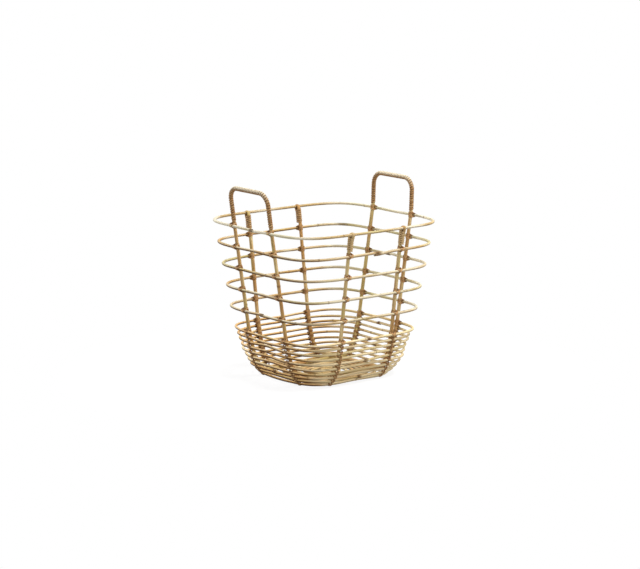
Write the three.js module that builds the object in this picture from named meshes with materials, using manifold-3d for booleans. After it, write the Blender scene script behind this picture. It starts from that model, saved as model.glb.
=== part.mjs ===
// Rattan storage basket: bent hoops lashed with split cane to uprights, and two wound handles.
// Millimetres, +Z up, origin on the ground under the middle of the basket.
// The handles stand on the two X sides, and the two Y sides are plain.
import * as THREE from 'three';
import { mergeVertices } from 'three/addons/utils/BufferGeometryUtils.js';
import Module from 'manifold-3d';

// Driving dimensions of the open wall
const RIM_HALF_LENGTH = 200; // middle of the basket to the rim's centre line, towards a handle
const RIM_HALF_WIDTH = 186; // the same towards a plain side
const RIM_HEIGHT = 338; // ground to the rim's centre line
const WALL_HOOPS = 4; // open hoops between the rim and the bowl
const WALL_SQUARENESS = 4.95; // exponent of the plan: 2 is an ellipse, larger is squarer

// Driving dimensions of the close-set bowl
const BOWL_HALF_LENGTH = 162.5; // its top hoop, like the rim
const BOWL_HALF_WIDTH = 153.5;
const BOWL_HEIGHT = 100; // ground to the top hoop's centre line
const BOWL_LEAN = THREE.MathUtils.degToRad(14); // wall of the bowl at its top, from upright
const FOOT_LEAN = THREE.MathUtils.degToRad(48); // the same where it meets the floor
const BOWL_CURVE_RADIUS = 100; // from one lean to the other
const BOWL_HOOPS = 10;
const BOWL_SQUARENESS = 4.3; // the plan below the bowl's top hoop has rounder corners
const FLOOR_PITCH = 12.4; // between turns of the floor coil
const FLOOR_EYE = 10; // half width of the coil's innermost turn

// Driving dimensions of the rods
const HOOP_DIAMETER = 6;
const BOWL_ROD_DIAMETER = 5.5;
const RIB_DIAMETER = 8;
const CLEARANCE = 0.3; // between pieces that touch
const SCARF_SLOPE = 3.5; // length of a slanted joint over its height
const SCARF_GAP = 0.5;

// Driving dimensions of the uprights and handles
const HANDLE_SPACING = 131; // between the two legs of a handle
const PLAIN_SPACING = 141; // between the two uprights of a plain side
const LEFT_HANDLE_RISE = 84; // rim's centre line to the grip's, on the -X side
const LEFT_HANDLE_LEAN = THREE.MathUtils.degToRad(8.5); // from upright
const RIGHT_HANDLE_RISE = 81; // the same on the +X side
const RIGHT_HANDLE_LEAN = THREE.MathUtils.degToRad(2);
const HANDLE_KNEE = 8.5; // from the rim's centre line up to where a handle leaves the wall's lean
const HANDLE_BEND_RADIUS = 26;
const TAIL_DIAMETER = 3.8; // thinned end of a plain rib, folded over the rim
const TAIL_STANDOFF = 13; // from the end of the tail down to the next hoop

// Driving dimensions of the split cane
const CANE_WIDTH = 2.6;
const CANE_CROWN = 1.2; // thickness at the middle of its rounded face
const WRAP_TURNS = 24; // on each handle
const WRAP_CROWN = 0.8; // thickness of the wider cane on the handles
const WRAP_GAP = 0.8; // between its turns
const WRAP_START = 1.5; // from a handle's knee up to the first turn
const TAIL_BINDING_TURNS = 4;
const LASHING_REACH = 7; // along the hoop, to each side of its rib
const LASHING_RISE = 3.2; // along the rib, from the hoop's face to the turns behind the rib

// Facets
const HOOP_SIDES = 6;
const RIB_SIDES = 8;
const CORNER_STATIONS = 4;
const BEND_STATIONS = 7;
const LOOP_STEPS = 8;
const WRAP_STEPS = 6;
const COIL_STEPS = 16;
const FACE_TURNS = [75, 37, 0, -37, -75].map(THREE.MathUtils.degToRad); // cane over a hoop
const BACK_TURNS = [70, 0, -70].map(THREE.MathUtils.degToRad); // cane round the back of a rib

const hoopRadius = HOOP_DIAMETER / 2;
const bowlRodRadius = BOWL_ROD_DIAMETER / 2;
const ribRadius = RIB_DIAMETER / 2;
const tailRadius = TAIL_DIAMETER / 2;
const handleOffset = HANDLE_SPACING / 2;
const plainOffset = PLAIN_SPACING / 2;
const wallPitch = (RIM_HEIGHT - BOWL_HEIGHT) / (WALL_HOOPS + 1);
// A six-sided rod lies on a flat, so its centre is lower than its radius
const floorHeight = bowlRodRadius * Math.sin(Math.PI / 3);

const rattan = new THREE.MeshStandardMaterial({ color: 0xd6b283, roughness: 0.55, metalness: 0 });
const peeledRattan = new THREE.MeshStandardMaterial({ color: 0xcaa06c, roughness: 0.5, metalness: 0 });
const cane = new THREE.MeshStandardMaterial({ color: 0x8d633d, roughness: 0.6, metalness: 0 });

const basket = new THREE.Group();
const wasm = await Module();
wasm.setup();

const vector = (x, y, z) => new THREE.Vector3(x, y, z);

function addPiece(name, geometry, material) {
  const mesh = new THREE.Mesh(geometry, material);
  mesh.name = name;
  basket.add(mesh);
}

// Joins rings of points, each counted anticlockwise about the way forward, into one closed tube.
// Each four-cornered facet is split along its shorter diagonal, so that a twisted tube can't cross itself.
function tube(rings) {
  const sides = rings[0].length;
  const points = rings.flat();
  const index = [];
  for (let r = 0; r + 1 < rings.length; r += 1) {
    for (let s = 0; s < sides; s += 1) {
      const a = r * sides + s;
      const b = r * sides + ((s + 1) % sides);
      const c = b + sides;
      const d = a + sides;
      const isForward = points[a].distanceTo(points[c]) <= points[b].distanceTo(points[d]);
      index.push(...(isForward ? [a, b, c, a, c, d] : [a, b, d, b, c, d]));
    }
  }
  const last = (rings.length - 1) * sides;
  for (let s = 1; s + 1 < sides; s += 1) {
    index.push(0, s + 1, s, last, last + s, last + s + 1);
  }
  const positions = points.flatMap((p) => p.toArray());
  const geometry = new THREE.BufferGeometry();
  geometry.setAttribute('position', new THREE.Float32BufferAttribute(positions, 3));
  geometry.setIndex(index);
  geometry.computeVertexNormals();
  return geometry;
}

// Directions at a station of a path: along it, away from what it lies on, and across
function axesAt(stations, i) {
  const before = stations[Math.max(i - 1, 0)].point;
  const after = stations[Math.min(i + 1, stations.length - 1)].point;
  const along = after.clone().sub(before).normalize();
  const across = along.clone().cross(stations[i].away).normalize();
  const away = across.clone().cross(along);
  return { along, across, away };
}

// Rings of a round rod through stations of point, away and radius, with slanted cuts at its ends
function rodRings(stations, sides, slope = 0) {
  return stations.map(({ point, radius }, i) => {
    const { along, across, away } = axesAt(stations, i);
    const isEnd = i === 0 || i === stations.length - 1;
    return Array.from({ length: sides }, (_, s) => {
      const angle = (2 * Math.PI * s) / sides;
      const high = radius * Math.sin(angle);
      const corner = point.clone().addScaledVector(across, -radius * Math.cos(angle));
      corner.addScaledVector(away, high);
      return isEnd ? corner.addScaledVector(along, slope * high) : corner;
    });
  });
}

// Rings of split cane: flat on the side that its stations run along, crowned on the other
function caneRings(stations) {
  return stations.map(({ point }, i) => {
    const { across, away } = axesAt(stations, i);
    return [
      point.clone().addScaledVector(away, CANE_CROWN),
      point.clone().addScaledVector(across, CANE_WIDTH / 2),
      point.clone().addScaledVector(across, -CANE_WIDTH / 2),
    ];
  });
}

// Least distance between points of rings that lie at least some rings apart
function leastGap(rings, apart) {
  let least = Infinity;
  for (let i = 0; i + apart < rings.length; i += 1) {
    for (let j = i + apart; j < rings.length; j += 1) {
      for (const p of rings[i]) {
        for (const q of rings[j]) {
          least = Math.min(least, p.distanceTo(q));
        }
      }
    }
  }
  return least;
}

function toSolid(geometry) {
  const bare = geometry.clone();
  bare.deleteAttribute('normal');
  const merged = mergeVertices(bare);
  const vertProperties = new Float32Array(merged.attributes.position.array);
  const triVerts = new Uint32Array(merged.index.array);
  return new wasm.Manifold(new wasm.Mesh({ numProp: 3, vertProperties, triVerts }));
}

function fuse(geometries) {
  const solid = geometries.map(toSolid).reduce((whole, piece) => whole.add(piece));
  const { vertProperties, triVerts } = solid.getMesh();
  const geometry = new THREE.BufferGeometry();
  geometry.setAttribute('position', new THREE.BufferAttribute(vertProperties, 3));
  geometry.setIndex(new THREE.BufferAttribute(triVerts, 1));
  geometry.computeVertexNormals();
  return geometry;
}

// Half the bowl's wall in section: how far a hoop lies in from the top hoop, and how high
const curveHeight = floorHeight + BOWL_CURVE_RADIUS * (Math.sin(FOOT_LEAN) - Math.sin(BOWL_LEAN));
const straightRun = (BOWL_HEIGHT - curveHeight) / Math.cos(BOWL_LEAN);
const bowlRun = straightRun + BOWL_CURVE_RADIUS * (FOOT_LEAN - BOWL_LEAN);

function bowlSection(run) {
  const straight = Math.min(run, straightRun);
  const lean = BOWL_LEAN + (run - straight) / BOWL_CURVE_RADIUS;
  const curvedIn = BOWL_CURVE_RADIUS * (Math.cos(BOWL_LEAN) - Math.cos(lean));
  const curvedDown = BOWL_CURVE_RADIUS * (Math.sin(lean) - Math.sin(BOWL_LEAN));
  return {
    inset: straight * Math.sin(BOWL_LEAN) + curvedIn,
    height: BOWL_HEIGHT - straight * Math.cos(BOWL_LEAN) - curvedDown,
  };
}

// Every hoop from the rim down: half sizes of its centre line, height, rod radius and squareness
function wallLevel(k) {
  return {
    name: k === 0 ? 'rim_hoop' : `wall_hoop_${k}`,
    length: THREE.MathUtils.lerp(RIM_HALF_LENGTH, BOWL_HALF_LENGTH, k / (WALL_HOOPS + 1)),
    width: THREE.MathUtils.lerp(RIM_HALF_WIDTH, BOWL_HALF_WIDTH, k / (WALL_HOOPS + 1)),
    height: RIM_HEIGHT - k * wallPitch,
    radius: hoopRadius,
    squareness: WALL_SQUARENESS,
  };
}

function bowlLevel(k) {
  const { inset, height } = bowlSection((bowlRun * k) / (BOWL_HOOPS - 1));
  return {
    name: `bowl_hoop_${k + 1}`,
    length: BOWL_HALF_LENGTH - inset,
    width: BOWL_HALF_WIDTH - inset,
    height,
    radius: bowlRodRadius,
    squareness: k === 0 ? WALL_SQUARENESS : BOWL_SQUARENESS,
  };
}

const wallLevels = Array.from({ length: WALL_HOOPS + 1 }, (_, k) => wallLevel(k));
const bowlLevels = Array.from({ length: BOWL_HOOPS }, (_, k) => bowlLevel(k));
const levels = [...wallLevels, ...bowlLevels];

// Point of a rounded-square outline, at a turn counted from the X axis
function outlinePoint(length, width, turn, squareness) {
  const soften = (value) => Math.sign(value) * Math.abs(value) ** (2 / squareness);
  return [length * soften(Math.cos(turn)), width * soften(Math.sin(turn))];
}

// Turns of the outline at which it crosses the uprights of a handle side and of a plain side
function crossingTurns({ length, width, squareness }) {
  const power = squareness / 2;
  return [Math.asin((handleOffset / width) ** power), Math.acos((plainOffset / length) ** power)];
}

// Turns all round a hoop: the middle of each side, the crossings with uprights and the corners
function hoopTurns(level) {
  const [first, last] = crossingTurns(level);
  const corner = Array.from({ length: CORNER_STATIONS }, (_, i) => {
    return THREE.MathUtils.lerp(first, last, (i + 1) / (CORNER_STATIONS + 1));
  });
  const forward = [0, first, ...corner, last];
  const backward = [Math.PI / 2, last, ...corner.toReversed(), first];
  return [
    ...forward,
    ...backward.map((turn) => Math.PI - turn),
    ...forward.map((turn) => Math.PI + turn),
    ...backward.map((turn) => 2 * Math.PI - turn),
  ];
}

// Stations once round a hoop, from the middle of a side back to the same place
function hoopStations(level, startSide) {
  const turns = hoopTurns(level);
  const start = (startSide * turns.length) / 4;
  const order = Array.from({ length: turns.length + 1 }, (_, i) => turns[(start + i) % turns.length]);
  const stations = order.map((turn) => {
    const [x, y] = outlinePoint(level.length, level.width, turn, level.squareness);
    return { point: vector(x, y, level.height), away: vector(0, 0, 1), radius: level.radius };
  });
  // The two ends part by the joint's gap
  const { along } = axesAt(stations, 0);
  stations[0].point.addScaledVector(along, SCARF_GAP / 2);
  stations.at(-1).point.addScaledVector(along, -SCARF_GAP / 2);
  return stations;
}

// Stations of the floor's flat coil, from under an upright round and in to its eye
function coilStations() {
  const length = levels.at(-1).length - FLOOR_PITCH;
  const width = levels.at(-1).width - FLOOR_PITCH;
  const turns = (width - FLOOR_EYE) / FLOOR_PITCH;
  const [start] = crossingTurns({ length, width, squareness: BOWL_SQUARENESS });
  const count = Math.round(turns * COIL_STEPS);
  return Array.from({ length: count + 1 }, (_, i) => {
    const share = i / count;
    const inset = share * turns * FLOOR_PITCH;
    const squareness = THREE.MathUtils.lerp(BOWL_SQUARENESS, 2, share ** 2);
    const turn = start + share * turns * 2 * Math.PI;
    const [x, y] = outlinePoint(length - inset, width - inset, turn, squareness);
    return { point: vector(x, y, floorHeight), away: vector(0, 0, 1), radius: bowlRodRadius };
  });
}

// Where a hoop crosses an upright: distance from the basket's middle, and the hoop's slant there
function crossing(level, onHandleSide) {
  const half = onHandleSide ? level.length : level.width;
  const other = onHandleSide ? level.width : level.length;
  const offset = onHandleSide ? handleOffset : plainOffset;
  const rest = 1 - (offset / other) ** level.squareness;
  const slant = (half / other) * (offset / other) ** (level.squareness - 1);
  return {
    reach: half * rest ** (1 / level.squareness),
    slant: slant * rest ** (1 / level.squareness - 1),
  };
}

// Centre line of an upright in its own plane, from the rim down to the floor, inside the hoops.
// Each entry holds the hoop's centre, the upright's, the way out from one to the other, and the slant.
function uprightTrack(onHandleSide) {
  const hoops = levels.map((level) => {
    const { reach, slant } = crossing(level, onHandleSide);
    return { centre: new THREE.Vector2(reach, level.height), radius: level.radius, slant };
  });
  const floor = hoops.at(-1).centre.clone().setX(hoops.at(-1).centre.x - FLOOR_PITCH);
  hoops.push({ centre: floor, radius: bowlRodRadius, slant: 0 });
  return hoops.map(({ centre, radius, slant }, k) => {
    const above = hoops[Math.max(k - 1, 0)].centre;
    const below = hoops[Math.min(k + 1, hoops.length - 1)].centre;
    const up = above.clone().sub(below).normalize();
    const isFloor = k === hoops.length - 1;
    const out = isFloor ? new THREE.Vector2(0, -1) : new THREE.Vector2(up.y, -up.x);
    const stand = (radius + ribRadius + CLEARANCE) * Math.hypot(1, slant);
    const rib = centre.clone().addScaledVector(out, -stand);
    // Plain ribs cross over the handle rods on the floor, so they leave the bowl's bend a little early
    const bent = THREE.MathUtils.clamp((curveHeight - centre.y) / (curveHeight - floorHeight), 0, 1);
    rib.y += onHandleSide ? 0 : (RIB_DIAMETER + CLEARANCE) * bent ** 2;
    return { hoop: centre, rib, out, radius, slant };
  });
}

const handleTrack = uprightTrack(true);
const plainTrack = uprightTrack(false);

// Places a point of an upright's plane in space: which side of the basket, and how far along that side
function sidePlace(onHandleSide, sign, offset) {
  return (flat) => {
    return onHandleSide ? vector(sign * flat.x, offset, flat.y) : vector(offset, sign * flat.x, flat.y);
  };
}

function trackStations(track, place) {
  return track.map(({ rib, out }) => {
    return { point: place(rib), away: place(out).sub(place(new THREE.Vector2())), radius: ribRadius };
  });
}

// Knee of a handle, in an upright's plane: above the lashing of the rim
const wallOut = handleTrack[0].out;
const wallUp = new THREE.Vector2(-wallOut.y, wallOut.x);
const knee = handleTrack[0].rib.clone().addScaledVector(wallUp, HANDLE_KNEE);

// The two handles: side, lean, leg above the knee with and without its bend, and run over the grip
const bendLength = (HANDLE_BEND_RADIUS * Math.PI) / 2;
const gripLength = HANDLE_SPACING - 2 * HANDLE_BEND_RADIUS;

function handleShape(sign, rise, lean) {
  const leg = (RIM_HEIGHT + rise - knee.y) / Math.cos(lean);
  const straight = leg - HANDLE_BEND_RADIUS;
  return { sign, lean, leg, straight, length: 2 * straight + 2 * bendLength + gripLength };
}

const handles = [
  handleShape(-1, LEFT_HANDLE_RISE, LEFT_HANDLE_LEAN),
  handleShape(1, RIGHT_HANDLE_RISE, RIGHT_HANDLE_LEAN),
];

// Half the outline of a handle, in its leaning plane: across the legs, and up them from the knee
function halfArch({ leg, straight }, run) {
  const inner = handleOffset - HANDLE_BEND_RADIUS;
  if (run <= straight) {
    return new THREE.Vector2(handleOffset, run);
  }
  if (run <= straight + bendLength) {
    const turn = (run - straight) / HANDLE_BEND_RADIUS;
    const across = inner + HANDLE_BEND_RADIUS * Math.cos(turn);
    return new THREE.Vector2(across, straight + HANDLE_BEND_RADIUS * Math.sin(turn));
  }
  return new THREE.Vector2(inner - (run - straight - bendLength), leg);
}

// Point of a handle at some run along it, with the way out of its plane
function archStation(handle, run) {
  const { sign, lean, length } = handle;
  const half = halfArch(handle, Math.min(run, length - run));
  const across = run * 2 <= length ? half.x : -half.x;
  const reach = knee.x + half.y * Math.sin(lean);
  const height = knee.y + half.y * Math.cos(lean);
  return {
    point: vector(sign * reach, across, height),
    away: vector(sign * Math.cos(lean), 0, -Math.sin(lean)),
    radius: ribRadius,
  };
}

// A handle rod: from the middle of the floor up one leg, over the grip and back down the other
function handleStations(handle) {
  const { sign, straight, length } = handle;
  const descend = (offset) => trackStations(handleTrack, sidePlace(true, sign, offset));
  const floorEnd = (offset) => {
    const last = descend(offset).at(-1);
    const point = vector((sign * SCARF_GAP) / 2, offset, last.point.z);
    return { point, away: last.away, radius: ribRadius };
  };
  const bendRuns = Array.from({ length: BEND_STATIONS }, (_, i) => {
    return straight + (bendLength * i) / (BEND_STATIONS - 1);
  });
  const legRuns = [0, ...bendRuns];
  const runs = [...legRuns, ...legRuns.map((run) => length - run).reverse()];
  return [
    floorEnd(handleOffset),
    ...descend(handleOffset).reverse(),
    ...runs.map((run) => archStation(handle, run)),
    ...descend(-handleOffset),
    floorEnd(-handleOffset),
  ];
}

// Frame of the rim in a plain upright's plane: centre of the rim, up the wall and out of it
const rimCentre = plainTrack[0].hoop;
const rimOut = plainTrack[0].out;
const rimUp = new THREE.Vector2(-rimOut.y, rimOut.x);
const tailLength = wallPitch - TAIL_STANDOFF;

function rimPoint(out, up) {
  return rimCentre.clone().addScaledVector(rimOut, out).addScaledVector(rimUp, up);
}

// Distance out from the rim's centre to the tail, which closes on its rib as it goes down
const ribOut = -(hoopRadius + CLEARANCE + ribRadius);
const tailTop = hoopRadius + CLEARANCE + tailRadius;
const tailEnd = ribOut + ribRadius + CLEARANCE + tailRadius;
const tailOut = (down) => THREE.MathUtils.lerp(tailTop, tailEnd, down / tailLength);

// End of a plain rib, from the tip of its tail up the outside and over the rim
function tailStations(place) {
  const tip = rimPoint(tailEnd, -tailLength);
  const inward = place(rimPoint(ribOut, -tailLength)).sub(place(tip)).normalize();
  const loop = Array.from({ length: LOOP_STEPS }, (_, i) => {
    const turn = (Math.PI * i) / LOOP_STEPS;
    const radius = THREE.MathUtils.lerp(tailRadius, ribRadius, (i / LOOP_STEPS) ** 2);
    const reach = hoopRadius + CLEARANCE + radius;
    const point = place(rimPoint(reach * Math.cos(turn), reach * Math.sin(turn)));
    return { point, away: place(rimCentre).sub(point).normalize(), radius };
  });
  return [{ point: place(tip), away: inward, radius: tailRadius }, ...loop];
}

function plainRibStations(offset) {
  const half = (sign) => {
    const place = sidePlace(false, sign, offset);
    return [...tailStations(place), ...trackStations(plainTrack, place)];
  };
  return [...half(1), ...half(-1).reverse()];
}

// Cane bound round a plain rib and its tail, with both of its ends tucked into the rib
function tailBindingStations(place) {
  const top = hoopRadius + CANE_WIDTH * 2;
  const bottom = tailLength - CANE_WIDTH;
  const origin = place(rimCentre);
  const out = place(rimPoint(1, 0)).sub(origin);
  const spread = Math.PI / 3;
  const slack = Math.cos(spread / 2);
  const round = [
    ...[3.5, 4.5].map((thirds) => ({ onTail: false, turn: thirds * spread })),
    ...[-1, 0, 1].map((thirds) => ({ onTail: true, turn: thirds * spread })),
    ...[1.5, 2.5].map((thirds) => ({ onTail: false, turn: thirds * spread })),
  ];
  const station = (onTail, turn, radius, down) => {
    const centre = onTail ? tailOut(down) : ribOut;
    const point = place(rimPoint(centre + radius * Math.cos(turn), -down));
    point.x += radius * Math.sin(turn);
    return { point, away: out.clone().multiplyScalar(Math.cos(turn)).setX(Math.sin(turn)) };
  };
  const count = TAIL_BINDING_TURNS * round.length - 1;
  const wound = Array.from({ length: count + 1 }, (_, i) => {
    const { onTail, turn } = round[i % round.length];
    const radius = ((onTail ? tailRadius : ribRadius) + CLEARANCE) / slack;
    return station(onTail, turn, radius, THREE.MathUtils.lerp(top, bottom, i / count));
  });
  const tuck = (down) => station(false, Math.PI, ribRadius / 2, down);
  return [tuck(top), ...wound, tuck(bottom)];
}

// Local frame of a crossing, from the hoop's centre: along the hoop, up the rib and out of the wall
function crossingFrame(track, k, onHandleSide, sign, offset) {
  const { hoop, rib, slant, radius } = track[k];
  const place = sidePlace(onHandleSide, sign, offset);
  const origin = place(hoop);
  const flatOut = hoop.clone().sub(rib).normalize();
  const outward = place(hoop.clone().add(flatOut)).sub(origin);
  const up = place(hoop.clone().add(new THREE.Vector2(-flatOut.y, flatOut.x))).sub(origin);
  const along = sidePlace(onHandleSide, sign, offset + 1)(hoop).sub(origin);
  along.addScaledVector(outward, -Math.sign(offset) * slant).normalize();
  const out = outward.addScaledVector(along, -outward.dot(along)).normalize();
  const toward = (t, u, n) => {
    return vector(0, 0, 0).addScaledVector(along, t).addScaledVector(up, u).addScaledVector(out, n);
  };
  const at = (t, u, n) => toward(t, u, n).add(origin);
  return { at, toward, reach: hoop.distanceTo(rib) / Math.hypot(1, slant), radius };
}

// Cane over the face of a hoop, from above it on one side of the rib to below it on the other
function faceStations(frame, way, lift) {
  const flat = (frame.radius + CLEARANCE) / Math.cos((FACE_TURNS[0] - FACE_TURNS[1]) / 2);
  return FACE_TURNS.map((turn) => {
    const slide = (-turn / FACE_TURNS[0]) * LASHING_REACH;
    const radius = flat + lift * Math.cos(turn) ** 4;
    const up = way * Math.sin(turn);
    const out = Math.cos(turn);
    return { point: frame.at(slide, radius * up, radius * out), away: frame.toward(0, up, out) };
  });
}

// Cane round the back of a rib, at one height, from one side to the other
function backStations(frame, height) {
  const flat = (ribRadius + CLEARANCE) / Math.cos(BACK_TURNS[0] / 2);
  return BACK_TURNS.map((turn) => {
    const point = frame.at(flat * Math.sin(turn), height, -frame.reach - flat * Math.cos(turn));
    return { point, away: frame.toward(Math.sin(turn), 0, -Math.cos(turn)) };
  });
}

// Cane half-way between two stations, where it turns from the hoop's face to the rib's back
function halfway(from, to) {
  return {
    point: from.point.clone().lerp(to.point, 0.5),
    away: from.away.clone().add(to.away).normalize(),
  };
}

// A lashing: a cross of cane on the hoop's face, tied by two turns behind the rib
function lashingStations(frame) {
  const height = frame.radius + CLEARANCE + LASHING_RISE;
  const crossLift = CANE_CROWN + SCARF_GAP;
  const upperBack = backStations(frame, height);
  const lowerBack = backStations(frame, -height);
  const underFace = faceStations(frame, 1, 0);
  const overFace = faceStations(frame, -1, crossLift);
  return [
    upperBack.at(-1),
    halfway(upperBack.at(-1), underFace[0]),
    ...underFace,
    halfway(underFace.at(-1), lowerBack[0]),
    ...lowerBack,
    halfway(lowerBack.at(-1), overFace[0]),
    ...overFace,
    halfway(overFace.at(-1), upperBack[0]),
    ...upperBack.slice(0, -1),
  ];
}

// Point on a handle's surface: run along the handle, turn about it and distance from its centre line
function onHandle(handle, run, turn, radius) {
  const step = CLEARANCE;
  const { point, away } = archStation(handle, run);
  const ahead = archStation(handle, run + step).point;
  const along = ahead.sub(archStation(handle, run - step).point).normalize();
  const across = along.cross(away);
  point.addScaledVector(away, radius * Math.cos(turn));
  return point.addScaledVector(across, radius * Math.sin(turn));
}

// Rings of the cane wound round a handle, from above the rim on one leg to above it on the other.
// The strip lies straight from its middle to each edge, so it stands off by its sag on the bends.
function wrapRings(handle) {
  const pitch = (handle.length - 2 * WRAP_START + WRAP_GAP) / (WRAP_TURNS + 1);
  const half = (pitch - WRAP_GAP) / 2;
  const sag = (HANDLE_BEND_RADIUS + ribRadius) * (1 - Math.cos(half / HANDLE_BEND_RADIUS / 2));
  const flat = (ribRadius + CLEARANCE + sag) / Math.cos(Math.PI / WRAP_STEPS);
  return Array.from({ length: WRAP_TURNS * WRAP_STEPS + 1 }, (_, i) => {
    const run = WRAP_START + half + (pitch * i) / WRAP_STEPS;
    const turn = (2 * Math.PI * i) / WRAP_STEPS;
    return [
      onHandle(handle, run, turn, flat + WRAP_CROWN),
      onHandle(handle, run - half, turn, flat),
      onHandle(handle, run, turn, flat),
      onHandle(handle, run + half, turn, flat),
    ];
  });
}

// Hoops, with their slanted joints on a different side from level to level
levels.forEach((level, k) => {
  addPiece(level.name, tube(rodRings(hoopStations(level, (k + 2) % 4), HOOP_SIDES, SCARF_SLOPE)), rattan);
});

// Floor
const coil = rodRings(coilStations(), HOOP_SIDES);
addPiece('floor_coil', tube(coil), rattan);
console.log('least gap between turns of the floor coil', leastGap(coil, COIL_STEPS / 2).toFixed(2));

// Plain ribs, each with the cane that binds its two folded tails
[-1, 1].forEach((way, i) => {
  const offset = way * plainOffset;
  const rib = tube(rodRings(plainRibStations(offset), RIB_SIDES));
  const bindings = [-1, 1].map((sign) => {
    return tube(caneRings(tailBindingStations(sidePlace(false, sign, offset))));
  });
  addPiece(`plain_rib_${i + 1}`, fuse([rib, ...bindings]), peeledRattan);
});

// Handle rods, and the cane wound round each grip
handles.forEach((handle, i) => {
  const rod = rodRings(handleStations(handle), RIB_SIDES, handle.sign * SCARF_SLOPE);
  addPiece(`handle_rod_${i + 1}`, tube(rod), peeledRattan);
  const wrap = wrapRings(handle);
  addPiece(`handle_wrap_${i + 1}`, tube(wrap), cane);
  console.log(`least gap between turns of handle wrap ${i + 1}`, leastGap(wrap, WRAP_STEPS / 2).toFixed(2));
});

// Lashings of the open hoops; at the rim only the handle legs are lashed
function addLashings(track, onHandleSide, firstLevel, places) {
  for (let k = firstLevel; k < wallLevels.length; k += 1) {
    places.forEach(([sign, way, number]) => {
      const offset = way * (onHandleSide ? handleOffset : plainOffset);
      const rings = caneRings(lashingStations(crossingFrame(track, k, onHandleSide, sign, offset)));
      const name = k === 0 ? `rim_lashing_${number}` : `wall_lashing_${k}_${number}`;
      addPiece(name, tube(rings), cane);
    });
  }
}

addLashings(handleTrack, true, 0, [[-1, -1, 1], [-1, 1, 2], [1, -1, 3], [1, 1, 4]]);
addLashings(plainTrack, false, 1, [[-1, -1, 5], [-1, 1, 6], [1, -1, 7], [1, 1, 8]]);
const sample = caneRings(lashingStations(crossingFrame(handleTrack, 1, true, 1, handleOffset)));
console.log('least gap of a lashing to itself', leastGap(sample, FACE_TURNS.length).toFixed(2));

export default basket;
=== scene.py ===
"""Rattan storage basket: bent hoops lashed with split cane to uprights, and two wound handles.

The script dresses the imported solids. Sizes are in metres, +Z is up and the handles stand on the X sides.
"""

from __future__ import annotations

import logging
import math
import random
from collections.abc import Iterator, Sequence
from contextlib import contextmanager
from dataclasses import dataclass, field
from enum import Enum
from typing import Any, ClassVar

import bpy
import numpy as np
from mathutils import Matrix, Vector

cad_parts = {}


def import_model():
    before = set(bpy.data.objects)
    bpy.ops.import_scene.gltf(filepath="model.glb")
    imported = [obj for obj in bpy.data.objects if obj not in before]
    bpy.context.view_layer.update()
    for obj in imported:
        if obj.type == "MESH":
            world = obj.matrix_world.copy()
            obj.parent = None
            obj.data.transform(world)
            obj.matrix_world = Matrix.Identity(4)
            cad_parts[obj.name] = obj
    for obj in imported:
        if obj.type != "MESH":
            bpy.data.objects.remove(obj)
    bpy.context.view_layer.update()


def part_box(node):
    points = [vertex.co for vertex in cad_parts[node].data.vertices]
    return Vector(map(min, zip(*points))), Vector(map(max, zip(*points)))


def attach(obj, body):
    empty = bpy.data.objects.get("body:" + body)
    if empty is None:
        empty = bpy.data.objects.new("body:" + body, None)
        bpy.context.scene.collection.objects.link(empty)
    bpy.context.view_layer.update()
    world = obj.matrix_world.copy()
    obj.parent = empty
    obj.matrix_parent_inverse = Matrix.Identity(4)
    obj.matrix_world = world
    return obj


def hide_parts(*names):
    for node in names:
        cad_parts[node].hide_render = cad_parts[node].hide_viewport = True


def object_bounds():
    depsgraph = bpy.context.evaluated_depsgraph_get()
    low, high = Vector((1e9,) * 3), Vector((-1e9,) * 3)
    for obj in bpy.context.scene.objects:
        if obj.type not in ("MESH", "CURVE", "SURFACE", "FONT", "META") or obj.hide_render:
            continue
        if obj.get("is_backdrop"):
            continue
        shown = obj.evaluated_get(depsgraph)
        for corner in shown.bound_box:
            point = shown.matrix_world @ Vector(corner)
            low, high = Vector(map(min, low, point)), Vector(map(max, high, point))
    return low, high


LOG = logging.getLogger("rattan_basket")
BODY = "root"
SAME_PLACE = 1e-5  # metres; rings of a straight bar lie further apart
SMOOTH_ANGLE = math.radians(45.0)
MEAN_NOISE = 0.5  # added to a noise, it varies a share about its own size
SHIFT_PARTS = (1.0, 0.37, 0.71)
MOST_CUTS = 100
PHASES = (0.0, 6.0)
Colour = tuple[float, float, float, float]
Pair = tuple[float, float]


class Side(Enum):
    """Which two sides of the basket an upright stands on."""

    HANDLE = "handle"
    PLAIN = "plain"


class Slot(Enum):
    """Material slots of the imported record."""

    HOOP = "rattan_hoop"
    RIB = "rattan_rib"
    CANE = "split_cane"


class Twist(Enum):
    """How a bent rod keeps its upper side along its guide line."""

    LEVEL = "Z_UP"
    FREE = "MINIMUM"


def written(red: int, green: int, blue: int) -> Colour:
    """Turns a colour as written on screen, 0 to 255, into Blender's linear one.

    Args:
        red: Red, 0 to 255.
        green: Green, 0 to 255.
        blue: Blue, 0 to 255.

    Returns:
        The linear colour with full alpha.
    """
    shares = [value / 255.0 for value in (red, green, blue)]
    linear = [s / 12.92 if s <= 0.04045 else ((s + 0.055) / 1.055) ** 2.4 for s in shares]
    return (linear[0], linear[1], linear[2], 1.0)


# Lines


def unit(vectors: np.ndarray) -> np.ndarray:
    """Scales vectors, one per row, to length 1."""
    return vectors / np.maximum(np.linalg.norm(vectors, axis=-1, keepdims=True), 1e-12)


def run_along(points: np.ndarray) -> np.ndarray:
    """Gives the run from the start of a line to each of its points."""
    steps = np.linalg.norm(np.diff(points, axis=0), axis=1)
    return np.concatenate([[0.0], np.cumsum(steps)])


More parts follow.
